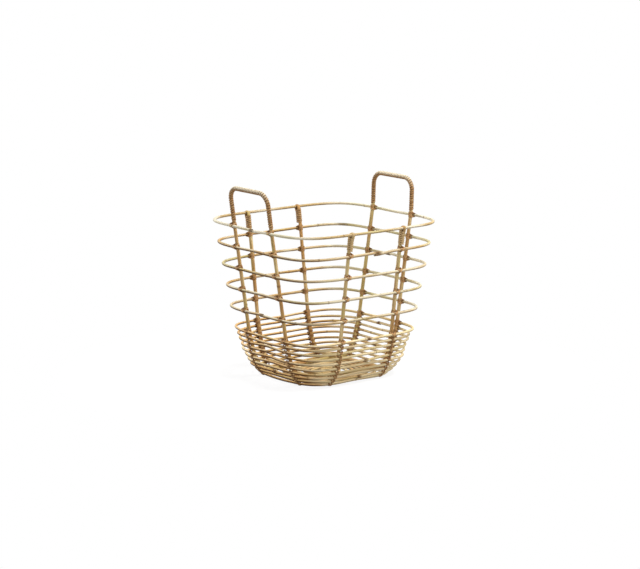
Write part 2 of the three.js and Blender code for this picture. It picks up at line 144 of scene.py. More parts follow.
def even_steps(points: np.ndarray, step: float, run: np.ndarray | None = None) -> np.ndarray:
    """Places points on a line at even steps.

    Args:
        points: The line's points, one per row, with any further columns carried along.
        step: The wanted distance between points.
        run: The run at each point, where further columns shouldn't count towards it.

    Returns:
        The new points, with the same first and last.
    """
    run = run_along(points) if run is None else run
    count = max(2, int(round(run[-1] / step)))
    marks = np.linspace(0.0, run[-1], count + 1)
    return np.stack([np.interp(marks, run, column) for column in points.T], axis=1)


def eased(points: np.ndarray, rounds: int) -> np.ndarray:
    """Rounds a line's corners off by moving each inner point towards its neighbours."""
    line = points.copy()
    for _ in range(rounds):
        line[1:-1] += 0.25 * (line[:-2] - 2.0 * line[1:-1] + line[2:])
    return line


def smooth_step(value: np.ndarray) -> np.ndarray:
    """Eases a value from 0 to 1."""
    share = np.clip(value, 0.0, 1.0)
    return share * share * (3.0 - 2.0 * share)


def hump(turn: np.ndarray) -> np.ndarray:
    """Gives a hump of height 1 at turn 0, flat beyond a quarter turn."""
    return np.cos(np.clip(turn, -math.pi / 2.0, math.pi / 2.0)) ** 2


# Work at the bench


def clear_selection() -> None:
    """Deselects every object."""
    bpy.ops.object.select_all(action="DESELECT")


def pick(obj: bpy.types.Object) -> None:
    """Makes one object the only selected and active one."""
    clear_selection()
    obj.select_set(True)
    bpy.context.view_layer.objects.active = obj


@contextmanager
def editing(obj: bpy.types.Object, mode: str) -> Iterator[None]:
    """Holds an object in edit mode.

    Args:
        obj: The object to edit.
        mode: What is selected there: VERT, EDGE or FACE.

    Yields:
        Nothing.
    """
    pick(obj)
    bpy.context.tool_settings.mesh_select_mode = [kind == mode for kind in ("VERT", "EDGE", "FACE")]
    bpy.ops.object.mode_set(mode="EDIT")
    try:
        yield
    finally:
        bpy.ops.object.mode_set(mode="OBJECT")


def points_of(mesh: bpy.types.Mesh) -> np.ndarray:
    """Reads a mesh's vertices, one per row."""
    flat = np.empty(len(mesh.vertices) * 3)
    mesh.vertices.foreach_get("co", flat)
    return flat.reshape(-1, 3)


def set_points(mesh: bpy.types.Mesh, points: np.ndarray) -> None:
    """Writes a mesh's vertices back."""
    mesh.vertices.foreach_set("co", points.astype(np.float32).ravel())
    mesh.update()


def edge_ends(mesh: bpy.types.Mesh) -> np.ndarray:
    """Reads the two vertices of each of a mesh's edges, one row for each."""
    flat = np.empty(len(mesh.edges) * 2, int)
    mesh.edges.foreach_get("vertices", flat)
    return flat.reshape(-1, 2)


def select_parts(mesh: bpy.types.Mesh, vertices: np.ndarray, edges: np.ndarray) -> None:
    """Selects vertices and edges by masks, and no faces."""
    mesh.polygons.foreach_set("select", np.zeros(len(mesh.polygons), bool))
    mesh.edges.foreach_set("select", edges)
    mesh.vertices.foreach_set("select", vertices)


def straight_bar(name: str, sides: int, radius: float, start: float, end: float) -> bpy.types.Object:
    """Adds a round bar along X.

    Args:
        name: Name of the new object.
        sides: Sides of its section.
        radius: Radius of its section.
        start: Where it starts on X.
        end: Where it ends on X.

    Returns:
        The bar, with its place in its mesh.
    """
    clear_selection()
    bpy.ops.mesh.primitive_cylinder_add(
        vertices=sides,
        radius=radius,
        depth=end - start,
        end_fill_type="NGON",
        location=((start + end) / 2.0, 0.0, 0.0),
        rotation=(0.0, math.pi / 2.0, 0.0),
    )
    bar = bpy.context.object
    bar.name = name
    bar.data.name = name
    bpy.ops.object.transform_apply(location=True, rotation=True, scale=True)
    return bar


def cut_rings(bar: bpy.types.Object, lengths: Sequence[int]) -> None:
    """Cuts a bar's lengthwise edges into equal lengths, once for each number given."""
    for count in lengths:
        mesh = bar.data
        along = points_of(mesh)[:, 0]
        lengthwise = np.abs(np.diff(along[edge_ends(mesh)], axis=1))[:, 0] > SAME_PLACE
        select_parts(mesh, np.zeros(len(mesh.vertices), bool), lengthwise)
        with editing(bar, "EDGE"):
            bpy.ops.mesh.subdivide(number_cuts=count - 1)


def cut_slanted(bar: bpy.types.Object, place: float, slope: float, keep_after: bool) -> None:
    """Cuts a bar with a slanted plane and closes the cut.

    Args:
        bar: The bar along X.
        place: Where the cut meets the bar's middle line.
        slope: Length of the cut over its height.
        keep_after: Whether the part after the cut is kept, and not the part before it.
    """
    with editing(bar, "FACE"):
        bpy.ops.mesh.select_all(action="SELECT")
        bpy.ops.mesh.bisect(
            plane_co=(place, 0.0, 0.0),
            plane_no=(1.0, 0.0, -slope),
            use_fill=True,
            clear_inner=keep_after,
            clear_outer=not keep_after,
        )


def give_attribute(mesh: bpy.types.Mesh, name: str, values: np.ndarray) -> None:
    """Stores a number or a vector on each vertex of a mesh."""
    kind = "FLOAT_VECTOR" if values.ndim == 2 else "FLOAT"
    attribute = mesh.attributes.new(name, kind, "POINT")
    attribute.data.foreach_set("vector" if values.ndim == 2 else "value", values.astype(np.float32).ravel())


def bend(bar: bpy.types.Object, guide: np.ndarray, thickness: np.ndarray, twist: Twist) -> None:
    """Bends a straight bar along a guide line with a Curve modifier, and applies it.

    Args:
        bar: The bar along X, whose X is the run along the guide.
        guide: Points of the guide line.
        thickness: Share of the bar's own thickness at each point.
        twist: How the bar keeps its upper side.
    """
    data = bpy.data.curves.new(bar.name + "_guide", "CURVE")
    data.dimensions = "3D"
    data.twist_mode = twist.value
    spline = data.splines.new("POLY")
    spline.points.add(len(guide) - 1)
    spline.points.foreach_set("co", np.c_[guide, np.ones(len(guide))].astype(np.float32).ravel())
    spline.points.foreach_set("radius", thickness.astype(np.float32))
    line = bpy.data.objects.new(data.name, data)
    bpy.context.scene.collection.objects.link(line)
    modifier = bar.modifiers.new("bend", "CURVE")
    modifier.object = line
    modifier.deform_axis = "POS_X"
    pick(bar)
    bpy.ops.object.modifier_apply(modifier=modifier.name)
    bpy.data.objects.remove(line)
    bpy.data.curves.remove(data)


def smooth_faces(obj: bpy.types.Object) -> None:
    """Shades an object smooth except across its sharp edges."""
    pick(obj)
    bpy.ops.object.shade_smooth_by_angle(angle=SMOOTH_ANGLE)


# Shader maths


@dataclass(frozen=True)
class Shade:
    """One output of a finish's nodes, which takes part in Python arithmetic."""

    nodes: "FinishNodes"
    socket: bpy.types.NodeSocket

    def __add__(self, other: Any) -> "Shade":
        """Adds."""
        return self.nodes.math("ADD", self, other)

    def __radd__(self, other: Any) -> "Shade":
        """Adds, reflected."""
        return self.nodes.math("ADD", other, self)

    def __sub__(self, other: Any) -> "Shade":
        """Subtracts."""
        return self.nodes.math("SUBTRACT", self, other)

    def __rsub__(self, other: Any) -> "Shade":
        """Subtracts, reflected."""
        return self.nodes.math("SUBTRACT", other, self)

    def __mul__(self, other: Any) -> "Shade":
        """Multiplies."""
        return self.nodes.math("MULTIPLY", self, other)

    def __rmul__(self, other: Any) -> "Shade":
        """Multiplies, reflected."""
        return self.nodes.math("MULTIPLY", other, self)


@dataclass(frozen=True)
class GrainNoise:
    """A noise in a rod's grain: its fineness along and across, its shift, detail and roughness."""

    along: float
    across: float
    shift: float = 0.0
    detail: float = 2.0
    roughness: float = 0.5


@dataclass(frozen=True)
class Lacquer:
    """A thin clear coat: its relief and its gloss."""

    depth: float
    coat_roughness: float
    strength: float = 0.4
    ior: float = 1.46
    specular: float = 0.14
    coat: float = 0.01


class FinishNodes:
    """Node tree of one material or of the world."""

    def __init__(self, holder: bpy.types.Material | bpy.types.World) -> None:
        """Empties the nodes of a material or world."""
        self.holder = holder
        holder.use_nodes = True
        self.tree = holder.node_tree
        self.tree.nodes.clear()

    @classmethod
    def of_material(cls, name: str) -> "FinishNodes":
        """Starts an empty material of that name."""
        return cls(bpy.data.materials.new(name))

    def add(self, kind: str, settings: dict[str, Any], inputs: dict[str | int, Any]) -> bpy.types.Node:
        """Adds a node.

        Args:
            kind: The node's type.
            settings: Its own settings, set first; "stops" are a ramp's places and colours.
            inputs: Values or links of its sockets, by name or number.

        Returns:
            The node.
        """
        node = self.tree.nodes.new(kind)
        for key, value in settings.items():
            if key == "stops":
                self._set_stops(node.color_ramp, value)
            else:
                setattr(node, key, value)
        for key, value in inputs.items():
            if isinstance(value, Shade):
                self.tree.links.new(value.socket, node.inputs[key])
            else:
                node.inputs[key].default_value = value
        return node

    @staticmethod
    def _set_stops(ramp: bpy.types.ColorRamp, stops: Sequence[tuple[float, Colour]]) -> None:
        """Sets a ramp's stops."""
        while len(ramp.elements) < len(stops):
            ramp.elements.new(1.0)
        for element, (place, colour) in zip(ramp.elements, stops):
            element.position = place
            element.color = colour

    def out(self, node: bpy.types.Node, key: str | int = 0) -> Shade:
        """Wraps an output of a node."""
        return Shade(self, node.outputs[key])

    def math(self, operation: str, first: Any, second: Any = 0.0) -> Shade:
        """Adds a Math node."""
        return self.out(self.add("ShaderNodeMath", {"operation": operation}, {0: first, 1: second}))

    def mix(self, share: Any, first: Any, second: Any, blend: str = "MIX") -> Shade:
        """Mixes two colours.

        Args:
            share: How much of the second colour.
            first: The first colour.
            second: The second colour.
            blend: How they are mixed.

        Returns:
            The mixed colour.
        """
        settings = {"data_type": "RGBA", "blend_type": blend, "clamp_factor": True}
        return self.out(self.add("ShaderNodeMix", settings, {0: share, 6: first, 7: second}), 2)

    def attribute(self, name: str, key: str) -> Shade:
        """Reads an attribute of the mesh, as "Vector" or "Fac"."""
        return self.out(self.add("ShaderNodeAttribute", {"attribute_name": name}, {}), key)

    def grain_noises(self, *noises: GrainNoise) -> list[Shade]:
        """Adds noises on the grain attribute, each shifted so that no two look alike."""
        grain = self.attribute("grain", "Vector")
        made = []
        for noise in noises:
            scale = (noise.along, noise.across, noise.across)
            shift = [noise.shift * part for part in SHIFT_PARTS]
            inputs = {0: grain, 1: scale, 2: shift}
            placed = self.out(self.add("ShaderNodeVectorMath", {"operation": "MULTIPLY_ADD"}, inputs))
            inputs = {"Vector": placed, "Scale": 1.0, "Detail": noise.detail, "Roughness": noise.roughness}
            made.append(self.out(self.add("ShaderNodeTexNoise", {}, inputs), "Fac"))
        return made

    def between(self, value: Shade, low: float, high: float) -> Shade:
        """Turns a value into a share, from 0 at low to 1 at high."""
        node = self.add(
            "ShaderNodeMapRange",
            {"interpolation_type": "SMOOTHSTEP"},
            {"Value": value, "From Min": low, "From Max": high},
        )
        return self.out(node, "Result")

    def grey(self, value: Shade) -> Shade:
        """Turns a value into a grey."""
        inputs = {channel: value for channel in ("Red", "Green", "Blue")}
        return self.out(self.add("ShaderNodeCombineColor", {}, inputs))

    @staticmethod
    def weighted(start: float, parts: Sequence[Shade], weights: Sequence[float]) -> Shade:
        """Adds up a start value and parts by their weights."""
        total: Any = start
        for part, weight in zip(parts, weights):
            total = total + part * weight
        return total

    def fibred(self, colour: Shade, fibre: Shade, light: Pair) -> Shade:
        """Darkens a colour between its fibres, from a least light and the range above it."""
        return self.mix(1.0, colour, self.grey(light[0] + light[1] * fibre), "MULTIPLY")

    def seen(self) -> Shade:
        """Gives 1 where the camera looks, straight on or by way of a gloss or a glass."""
        path = self.add("ShaderNodeLightPath", {}, {})
        straight = self.math("MAXIMUM", self.out(path, "Is Camera Ray"), self.out(path, "Is Glossy Ray"))
        return self.math("MAXIMUM", straight, self.out(path, "Is Transmission Ray"))

    def finish(self, surface: Shade) -> bpy.types.Material | bpy.types.World:
        """Links the surface and gives the material or world."""
        is_world = isinstance(self.holder, bpy.types.World)
        kind = "ShaderNodeOutputWorld" if is_world else "ShaderNodeOutputMaterial"
        self.add(kind, {}, {"Surface": surface})
        return self.holder

    def lacquered(
        self, lacquer_and_under_shade: Lacquer, colour: Shade, roughness: Shade, relief: Shade
    ) -> bpy.types.Material:
        """Ends a material as lacquered bark or skin.

        Args:
            lacquer_and_under_shade: The clear coat.
            colour: Colour below it.
            roughness: Roughness of its surface.
            relief: Height of the fibres.

        Returns:
            The material.
        """
        heights = {"Strength": lacquer_and_under_shade.strength, "Distance": lacquer_and_under_shade.depth, "Height": relief}
        inputs = {
            "Base Color": colour,
            "Roughness": roughness,
            "IOR": lacquer_and_under_shade.ior,
            "Specular IOR Level": lacquer_and_under_shade.specular,
            "Coat Weight": lacquer_and_under_shade.coat,
            "Coat Roughness": lacquer_and_under_shade.coat_roughness,
            "Normal": self.out(self.add("ShaderNodeBump", {}, heights)),
        }
        return self.finish(self.out(self.add("ShaderNodeBsdfPrincipled", {}, inputs)))


@dataclass(frozen=True)
class RattanFinish:
    """Bark-on rattan: straw and tan along the rod, olive and scorched patches, and dark node rings."""

    name: str
    straw: Colour
    tan: Colour
    olive: Colour
    brown: Colour
    olive_share: float = 0.7
    scorch_share: float = 0.75
    # painted shade: how far the underside is darkened
    under_shade_share: float = 0.82
    streak_share: float = 0.55
    ring_share: float = 0.8
    speck_share: float = 0.5
    stain_shares: Pair = (0.55, 0.7)
    rod_shares: Pair = (0.15, 0.05)
    tan_band: Pair = (0.36, 0.66)
    olive_band: Pair = (0.5, 0.66)
    streak_band: Pair = (0.5, 0.8)
    scorch_band: Pair = (0.58, 0.74)
    speck_band: Pair = (0.69, 0.79)
    fibre_light: Pair = (0.82, 0.34)
    relief: tuple[float, ...] = (0.6, 0.8, -0.35, 0.6)
    roughness: tuple[float, ...] = (0.39, 0.2, 0.12)

    LACQUER: ClassVar[Lacquer] = Lacquer(0.0005, 0.25)
    TONE: ClassVar[GrainNoise] = GrainNoise(9.0, 50.0, 0.0, 3.0)
    FIBRE: ClassVar[GrainNoise] = GrainNoise(34.0, 1500.0, 3.1, 3.0, 0.6)
    STREAK: ClassVar[GrainNoise] = GrainNoise(14.0, 420.0, 7.7)
    GREEN: ClassVar[GrainNoise] = GrainNoise(6.0, 50.0, 19.0)
    BURN: ClassVar[GrainNoise] = GrainNoise(24.0, 180.0, 41.0, 4.0, 0.62)
    SPECK: ClassVar[GrainNoise] = GrainNoise(420.0, 900.0, 5.0)

    def make(self) -> bpy.types.Material:
        """Builds the material on the grain, tone, ring and stain attributes, and on the attribute of painted
        shade along the underside.
        """
        nodes = FinishNodes.of_material(self.name)
        tone, fibre, streak, green, burn, speck = nodes.grain_noises(
            self.TONE, self.FIBRE, self.STREAK, self.GREEN, self.BURN, self.SPECK
        )
        rod, ring, stain, painted_under_shade = (
            nodes.attribute(name, "Fac") for name in ("tone", "ring", "stain", "painted_under_shade")
        )
        browner, less_green = self.rod_shares
        colour = nodes.mix(nodes.between(tone + rod * browner, *self.tan_band), self.straw, self.tan)
        patches = nodes.between(green - rod * less_green, *self.olive_band) * self.olive_share
        colour = nodes.mix(patches, colour, self.olive)
        streaks = nodes.between(streak, *self.streak_band) * self.streak_share
        colour = nodes.mix(streaks, colour, self.tan)
        dark = nodes.between(burn, *self.scorch_band) * self.scorch_share
        for mark in (
            ring * self.ring_share,
            stain * (self.stain_shares[0] + self.stain_shares[1] * burn),
            nodes.between(speck, *self.speck_band) * self.speck_share,
            # painted shade along the underside, in place of the shade that falls there
            painted_under_shade * self.under_shade_share * (MEAN_NOISE + tone),
        ):
            dark = nodes.math("MAXIMUM", dark, mark)
        colour = nodes.fibred(nodes.mix(dark, colour, self.brown), fibre, self.fibre_light)
        relief = nodes.weighted(0.0, (fibre, streak, dark, ring), self.relief)
        roughness = nodes.weighted(self.roughness[0], (fibre, dark), self.roughness[1:])
        return nodes.lacquered(self.LACQUER, colour, roughness, relief)


@dataclass(frozen=True)
class CaneFinish:
    """Split cane: smooth outer skin with fine lengthwise fibres, cut edges darkened further by painted shade
    for the gaps between strands, and places paled by wear and by painted light.
    """

    name: str
    skin: Colour
    warm: Colour
    # dark colour of the cut edges, also painted shade in the gaps between strands
    edge_gap_shade: Colour
    # pale colour of wear, also painted light on the grip's top and on the front tails
    pale_wear_and_light: Colour
    edge_gap_shade_share: float = 0.85
    blotch_share: float = 0.6
    wear_and_light_share: float = 0.5
    warm_band: Pair = (0.34, 0.66)
    edge_gap_shade_band: Pair = (0.5, 0.92)
    blotch_band: Pair = (0.58, 0.74)
    fibre_light: Pair = (0.78, 0.4)
    relief: Pair = (0.8, -0.5)
    roughness: tuple[float, ...] = (0.42, 0.18, 0.14)

    LACQUER: ClassVar[Lacquer] = Lacquer(0.0004, 0.3)
    TONE: ClassVar[GrainNoise] = GrainNoise(42.0, 160.0, 0.0, 3.0)
    FIBRE: ClassVar[GrainNoise] = GrainNoise(60.0, 2600.0, 3.1, 3.0, 0.6)
    BLOTCH: ClassVar[GrainNoise] = GrainNoise(130.0, 500.0, 11.0, 3.0, 0.6)

    def make(self) -> bpy.types.Material:
        """Builds the material on the grain, on the place across the strip for the painted shade at its
        edges, and on the share of wear and painted light.
        """
        nodes = FinishNodes.of_material(self.name)
        tone, fibre, blotch = nodes.grain_noises(self.TONE, self.FIBRE, self.BLOTCH)
        edge_gap_shade, wear_and_painted_light = (nodes.attribute(name, "Fac") for name in ("edge_gap_shade", "wear_and_painted_light"))
        colour = nodes.mix(nodes.between(tone, *self.warm_band), self.skin, self.warm)
        # paler by wear and by painted light
        colour = nodes.mix(wear_and_painted_light * (MEAN_NOISE + tone), colour, self.pale_wear_and_light)
        # painted shade in the gaps between strands, laid on the cut edges
        cut = nodes.between(edge_gap_shade, *self.edge_gap_shade_band) * self.edge_gap_shade_share
        blots = nodes.between(blotch, *self.blotch_band) * self.blotch_share
        dark = nodes.math("MAXIMUM", cut, blots)
        colour = nodes.mix(dark * (1.0 - self.wear_and_light_share * wear_and_painted_light), colour, self.edge_gap_shade)
        colour = nodes.fibred(colour, fibre, self.fibre_light)
        relief = nodes.weighted(0.0, (fibre, dark), self.relief)
        roughness = nodes.weighted(self.roughness[0], (fibre, dark), self.roughness[1:])
        return nodes.lacquered(self.LACQUER, colour, roughness, relief)


# Stock


def grain_shift(chance: random.Random) -> np.ndarray:
    """Draws a shift of the grain, so that no two rods look alike."""
    return np.array([chance.uniform(0.0, 40.0), chance.uniform(0.0, 1.0), 0.0])


@dataclass
class RattanStock:
    """Round rattan rod, modelled straight along X and then bent along a guide line."""

    chance: random.Random
    sides: int = 16
    ring_pitch: float = 0.0034
    node_spacing: Pair = (0.13, 0.27)
    node_width: float = 0.0021
    node_swell: float = 0.09
    ovality: float = 0.025
    oval_twist: float = 9.0
    first_node: float = 0.02
    node_tilt: float = 0.0012
    ring_share: float = 0.5
    swells: tuple[Pair, ...] = ((0.02, 31.0), (0.012, 83.0))
    stain_edge: float = 1.25
    tone_spread: float = 0.4
    # how far up round the rod the painted underside shade reaches
    under_shade_height: float = 0.75

    def model(self, name: str, start: float, end: float, radius: float) -> bpy.types.Object:
        """Models a straight rod cut into rings.

        Args:
            name: Name of the new object.
            start: Where it starts on X.
            end: Where it ends on X.
            radius: Its radius.

        Returns:
            The rod.
        """
        bar = straight_bar(name, self.sides, radius, start, end)
        rings = max(4, int((end - start) / self.ring_pitch))
        first = int(math.ceil(math.sqrt(rings)))
        cut_rings(bar, (first, int(math.ceil(rings / first))))
        return bar

    def weather(
        self,
        bar: bpy.types.Object,
        tones: Sequence[float],
        stains: Sequence[tuple[float, float, float]] = (),
        under_shades: Sequence[float] = (0.0,),
    ) -> None:
        """Gives a straight rod its swollen nodes and slightly oval section, and stores its grain.

        Args:
            bar: The straight rod.
            tones: How brown it is at even places along it, from -1 to 1.
            stains: Place, half length and share of each darkened stretch on X.
            under_shades: How much painted shade darkens its underside, at even places along it.
        """
        points = points_of(bar.data)
        along = points[:, 0]
        turn = np.arctan2(points[:, 2], points[:, 1])
        place = along.min() + self.chance.uniform(self.first_node, self.node_spacing[1])
        ring = np.zeros(len(points))
        swell = np.zeros(len(points))
        while place < along.max():
            tilt = self.chance.uniform(-self.node_tilt, self.node_tilt)
            away = along - place - tilt * np.cos(turn + self.chance.uniform(*PHASES))
            swell += self.node_swell * np.exp(-((away / self.node_width) ** 2))
            ring = np.maximum(ring, np.exp(-((away / (self.node_width * self.ring_share)) ** 2)))
            place += self.chance.uniform(*self.node_spacing)
        phase = self.chance.uniform(*PHASES)
        swell += self.ovality * np.cos(2.0 * turn + phase + along * self.oval_twist)
        for k, (height, pace) in enumerate(self.swells, 1):
            swell += height * np.sin(along * pace + k * phase)
        stain = np.zeros(len(points))
        for middle, half, share in stains:
            reach = self.stain_edge - np.abs(along - middle) / half
            stain = np.maximum(stain, share * smooth_step(reach))
        give_attribute(bar.data, "grain", points + grain_shift(self.chance))
        give_attribute(bar.data, "ring", ring)
        give_attribute(bar.data, "stain", stain)
        tone, lacquer_and_under_shade = (
            np.interp(along, np.linspace(along.min(), along.max(), len(values)), values)
            for values in (tones, under_shades)
        )
        give_attribute(bar.data, "tone", tone + self.chance.uniform(-self.tone_spread, self.tone_spread))
        # painted shade on the underside, from the section's turn and each place's share
        give_attribute(bar.data, "painted_under_shade", lacquer_and_under_shade * smooth_step(self.under_shade_height - np.sin(turn)))
        points[:, 1:] *= (1.0 + swell)[:, None]
        set_points(bar.data, points)


@dataclass
class CaneStock:
    """Split cane, flat below and crowned above, modelled once for each number of stations."""

    chance: random.Random
    sides: int = 12
    spacing: float = 0.001
    belly: float = 0.12
    ring_multiple: int = 12
    eased_rounds: int = 2
    models: dict[tuple[int, float, float], bpy.types.Object] = field(default_factory=dict)

    def _model(self, stations: int, width: float, crown: float) -> bpy.types.Object:
        """Models a straight strip.

        Args:
            stations: Number of its rings.
            width: Its width, along Y.
            crown: Its thickness above its flat side, along Z.

        Returns:
            The strip.
        """
        length = (stations - 1) * self.spacing
        strip = straight_bar(f"cane_strip_{stations}", self.sides, width / 2.0, 0.0, length)
        for is_upper, share in ((True, crown / (width / 2.0)), (False, self.belly)):
            height = points_of(strip.data)[:, 2]
            chosen = height > 1e-7 if is_upper else height < -1e-7
            select_parts(strip.data, chosen, np.zeros(len(strip.data.edges), bool))
            with editing(strip, "VERT"):
                bpy.ops.transform.resize(value=(1.0, 1.0, share), center_override=(0.0, 0.0, 0.0))
        rings = stations - 1
        if rings <= MOST_CUTS:
            cut_rings(strip, (rings,))
        else:
            first = next(n for n in range(int(math.sqrt(rings)), 0, -1) if rings % n == 0)
            cut_rings(strip, (first, rings // first))
        return strip

    def stations_for(self, length: float, step: float) -> int:
        """Counts a strip's stations so that its rings can be cut in two goes."""
        rings = max(self.ring_multiple, int(round(length / step)))
        return rings - rings % self.ring_multiple + 1

    def lay(self, name: str, way: np.ndarray, width: float, crown: float, step: float) -> bpy.types.Object:
        """Lays a strip along a line.

        Args:
            name: Name of the new object.
            way: Points that its flat side follows, the way out there, and its share of wear and painted
                light; seven columns.
            width: Its width.
            crown: Its thickness.
            step: The wanted distance between its rings.

        Returns:
            The strip in place.
        """
        run = run_along(way[:, :3])
        stations = self.stations_for(run[-1], step)
        marks = np.linspace(0.0, run[-1], stations)
        both = np.stack([np.interp(marks, run, column) for column in way.T], axis=1)
        both = eased(both, self.eased_rounds)
        line, out = both[:, :3], unit(both[:, 3:6])
        forward = unit(np.gradient(line, axis=0))
        across = unit(np.cross(out, forward))
        out = np.cross(forward, across)
        key = (stations, width, crown)
        if key not in self.models:
            self.models[key] = self._model(stations, width, crown)
        strip = self.models[key].copy()
        strip.data = strip.data.copy()
        strip.name = name
        strip.data.name = name
        bpy.context.scene.collection.objects.link(strip)
        flat = points_of(strip.data)
        mark = np.rint(flat[:, 0] / self.spacing).astype(int)
        rest = np.c_[mark * (run[-1] / (stations - 1)), flat[:, 1:]]
        give_attribute(strip.data, "grain", rest + grain_shift(self.chance))
        # place across the strip, for the painted shade at its edges
        give_attribute(strip.data, "edge_gap_shade", np.abs(flat[:, 1]) / (width / 2.0))
        # share of wear and painted light
        give_attribute(strip.data, "wear_and_painted_light", both[mark, 6])
        laid = line[mark] + flat[:, 1:2] * across[mark] + flat[:, 2:3] * out[mark]
        set_points(strip.data, laid)
        return strip

    def clear(self) -> None:
        """Removes the straight models."""
        for strip in self.models.values():
            bpy.data.objects.remove(strip)
        self.models.clear()


def joined(name: str, strips: Sequence[bpy.types.Object]) -> bpy.types.Object:
    """Joins the strands of one lashing into one piece."""
    pick(strips[0])
    for strip in strips:
        strip.select_set(True)
    if len(strips) > 1:
        bpy.ops.object.join()
    strips[0].name = name
    strips[0].data.name = name
    return strips[0]


# Shape of the basket


@dataclass(frozen=True)
class Level:
    """One hoop's centre line: half sizes, height, squareness and radius of its rod."""

    node: str
    half_length: float
    half_width: float
    height: float
    radius: float
    squareness: float

    @classmethod
    def of_node(cls, node: str, squareness: float) -> "Level":
        """Reads a hoop from its six-sided solid, which is less tall than its rod is thick."""
        low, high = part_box(node)
        radius = (high.z - low.z) / (2.0 * math.sin(math.pi / 3.0))
        return cls(node, high.x - radius, high.y - radius, (low.z + high.z) / 2.0, radius, squareness)


@dataclass(frozen=True)
class Crossing:
    """Where a hoop crosses an upright, in the upright's plane of distance out and height."""

    hoop: np.ndarray
    rib: np.ndarray
    out: np.ndarray
    radius: float
    slant: float


@dataclass(frozen=True)
class Knot:
    """Local frame of a crossing: along the hoop, up the upright and out of the wall."""

    origin: np.ndarray
    along: np.ndarray
    up: np.ndarray
    out: np.ndarray
    rib: np.ndarray
    hoop_radius: float

    def at(self, along: np.ndarray, up: np.ndarray, out: np.ndarray) -> np.ndarray:
        """Gives points, one per row, from the hoop's centre."""
        return self.origin + self.toward(along, up, out)

    def toward(self, along: np.ndarray, up: np.ndarray, out: np.ndarray) -> np.ndarray:
        """Gives directions, one per row."""
        return np.outer(along, self.along) + np.outer(up, self.up) + np.outer(out, self.out)


@dataclass(frozen=True)
class Upright:
    """One of the eight uprights: its side, which of the two such sides, and where along that side."""

    number: int
    side: Side
    sign: int
    way: int


UPRIGHTS = tuple(
    Upright(number + 1, side, sign, way)
    for number, (side, sign, way) in enumerate(
        (side, sign, way) for side in Side for sign in (-1, 1) for way in (-1, 1)
    )
)


@dataclass(frozen=True)
class Handle:
    """One handle: its side, the height of its grip over the rim and its lean from upright."""

    number: int
    sign: int
    rise: float
    lean: float


HANDLES = (Handle(1, -1, 0.084, math.radians(8.5)), Handle(2, 1, 0.081, math.radians(2.0)))
WALL_SQUARENESS = 4.95
BOWL_SQUARENESS = 4.3


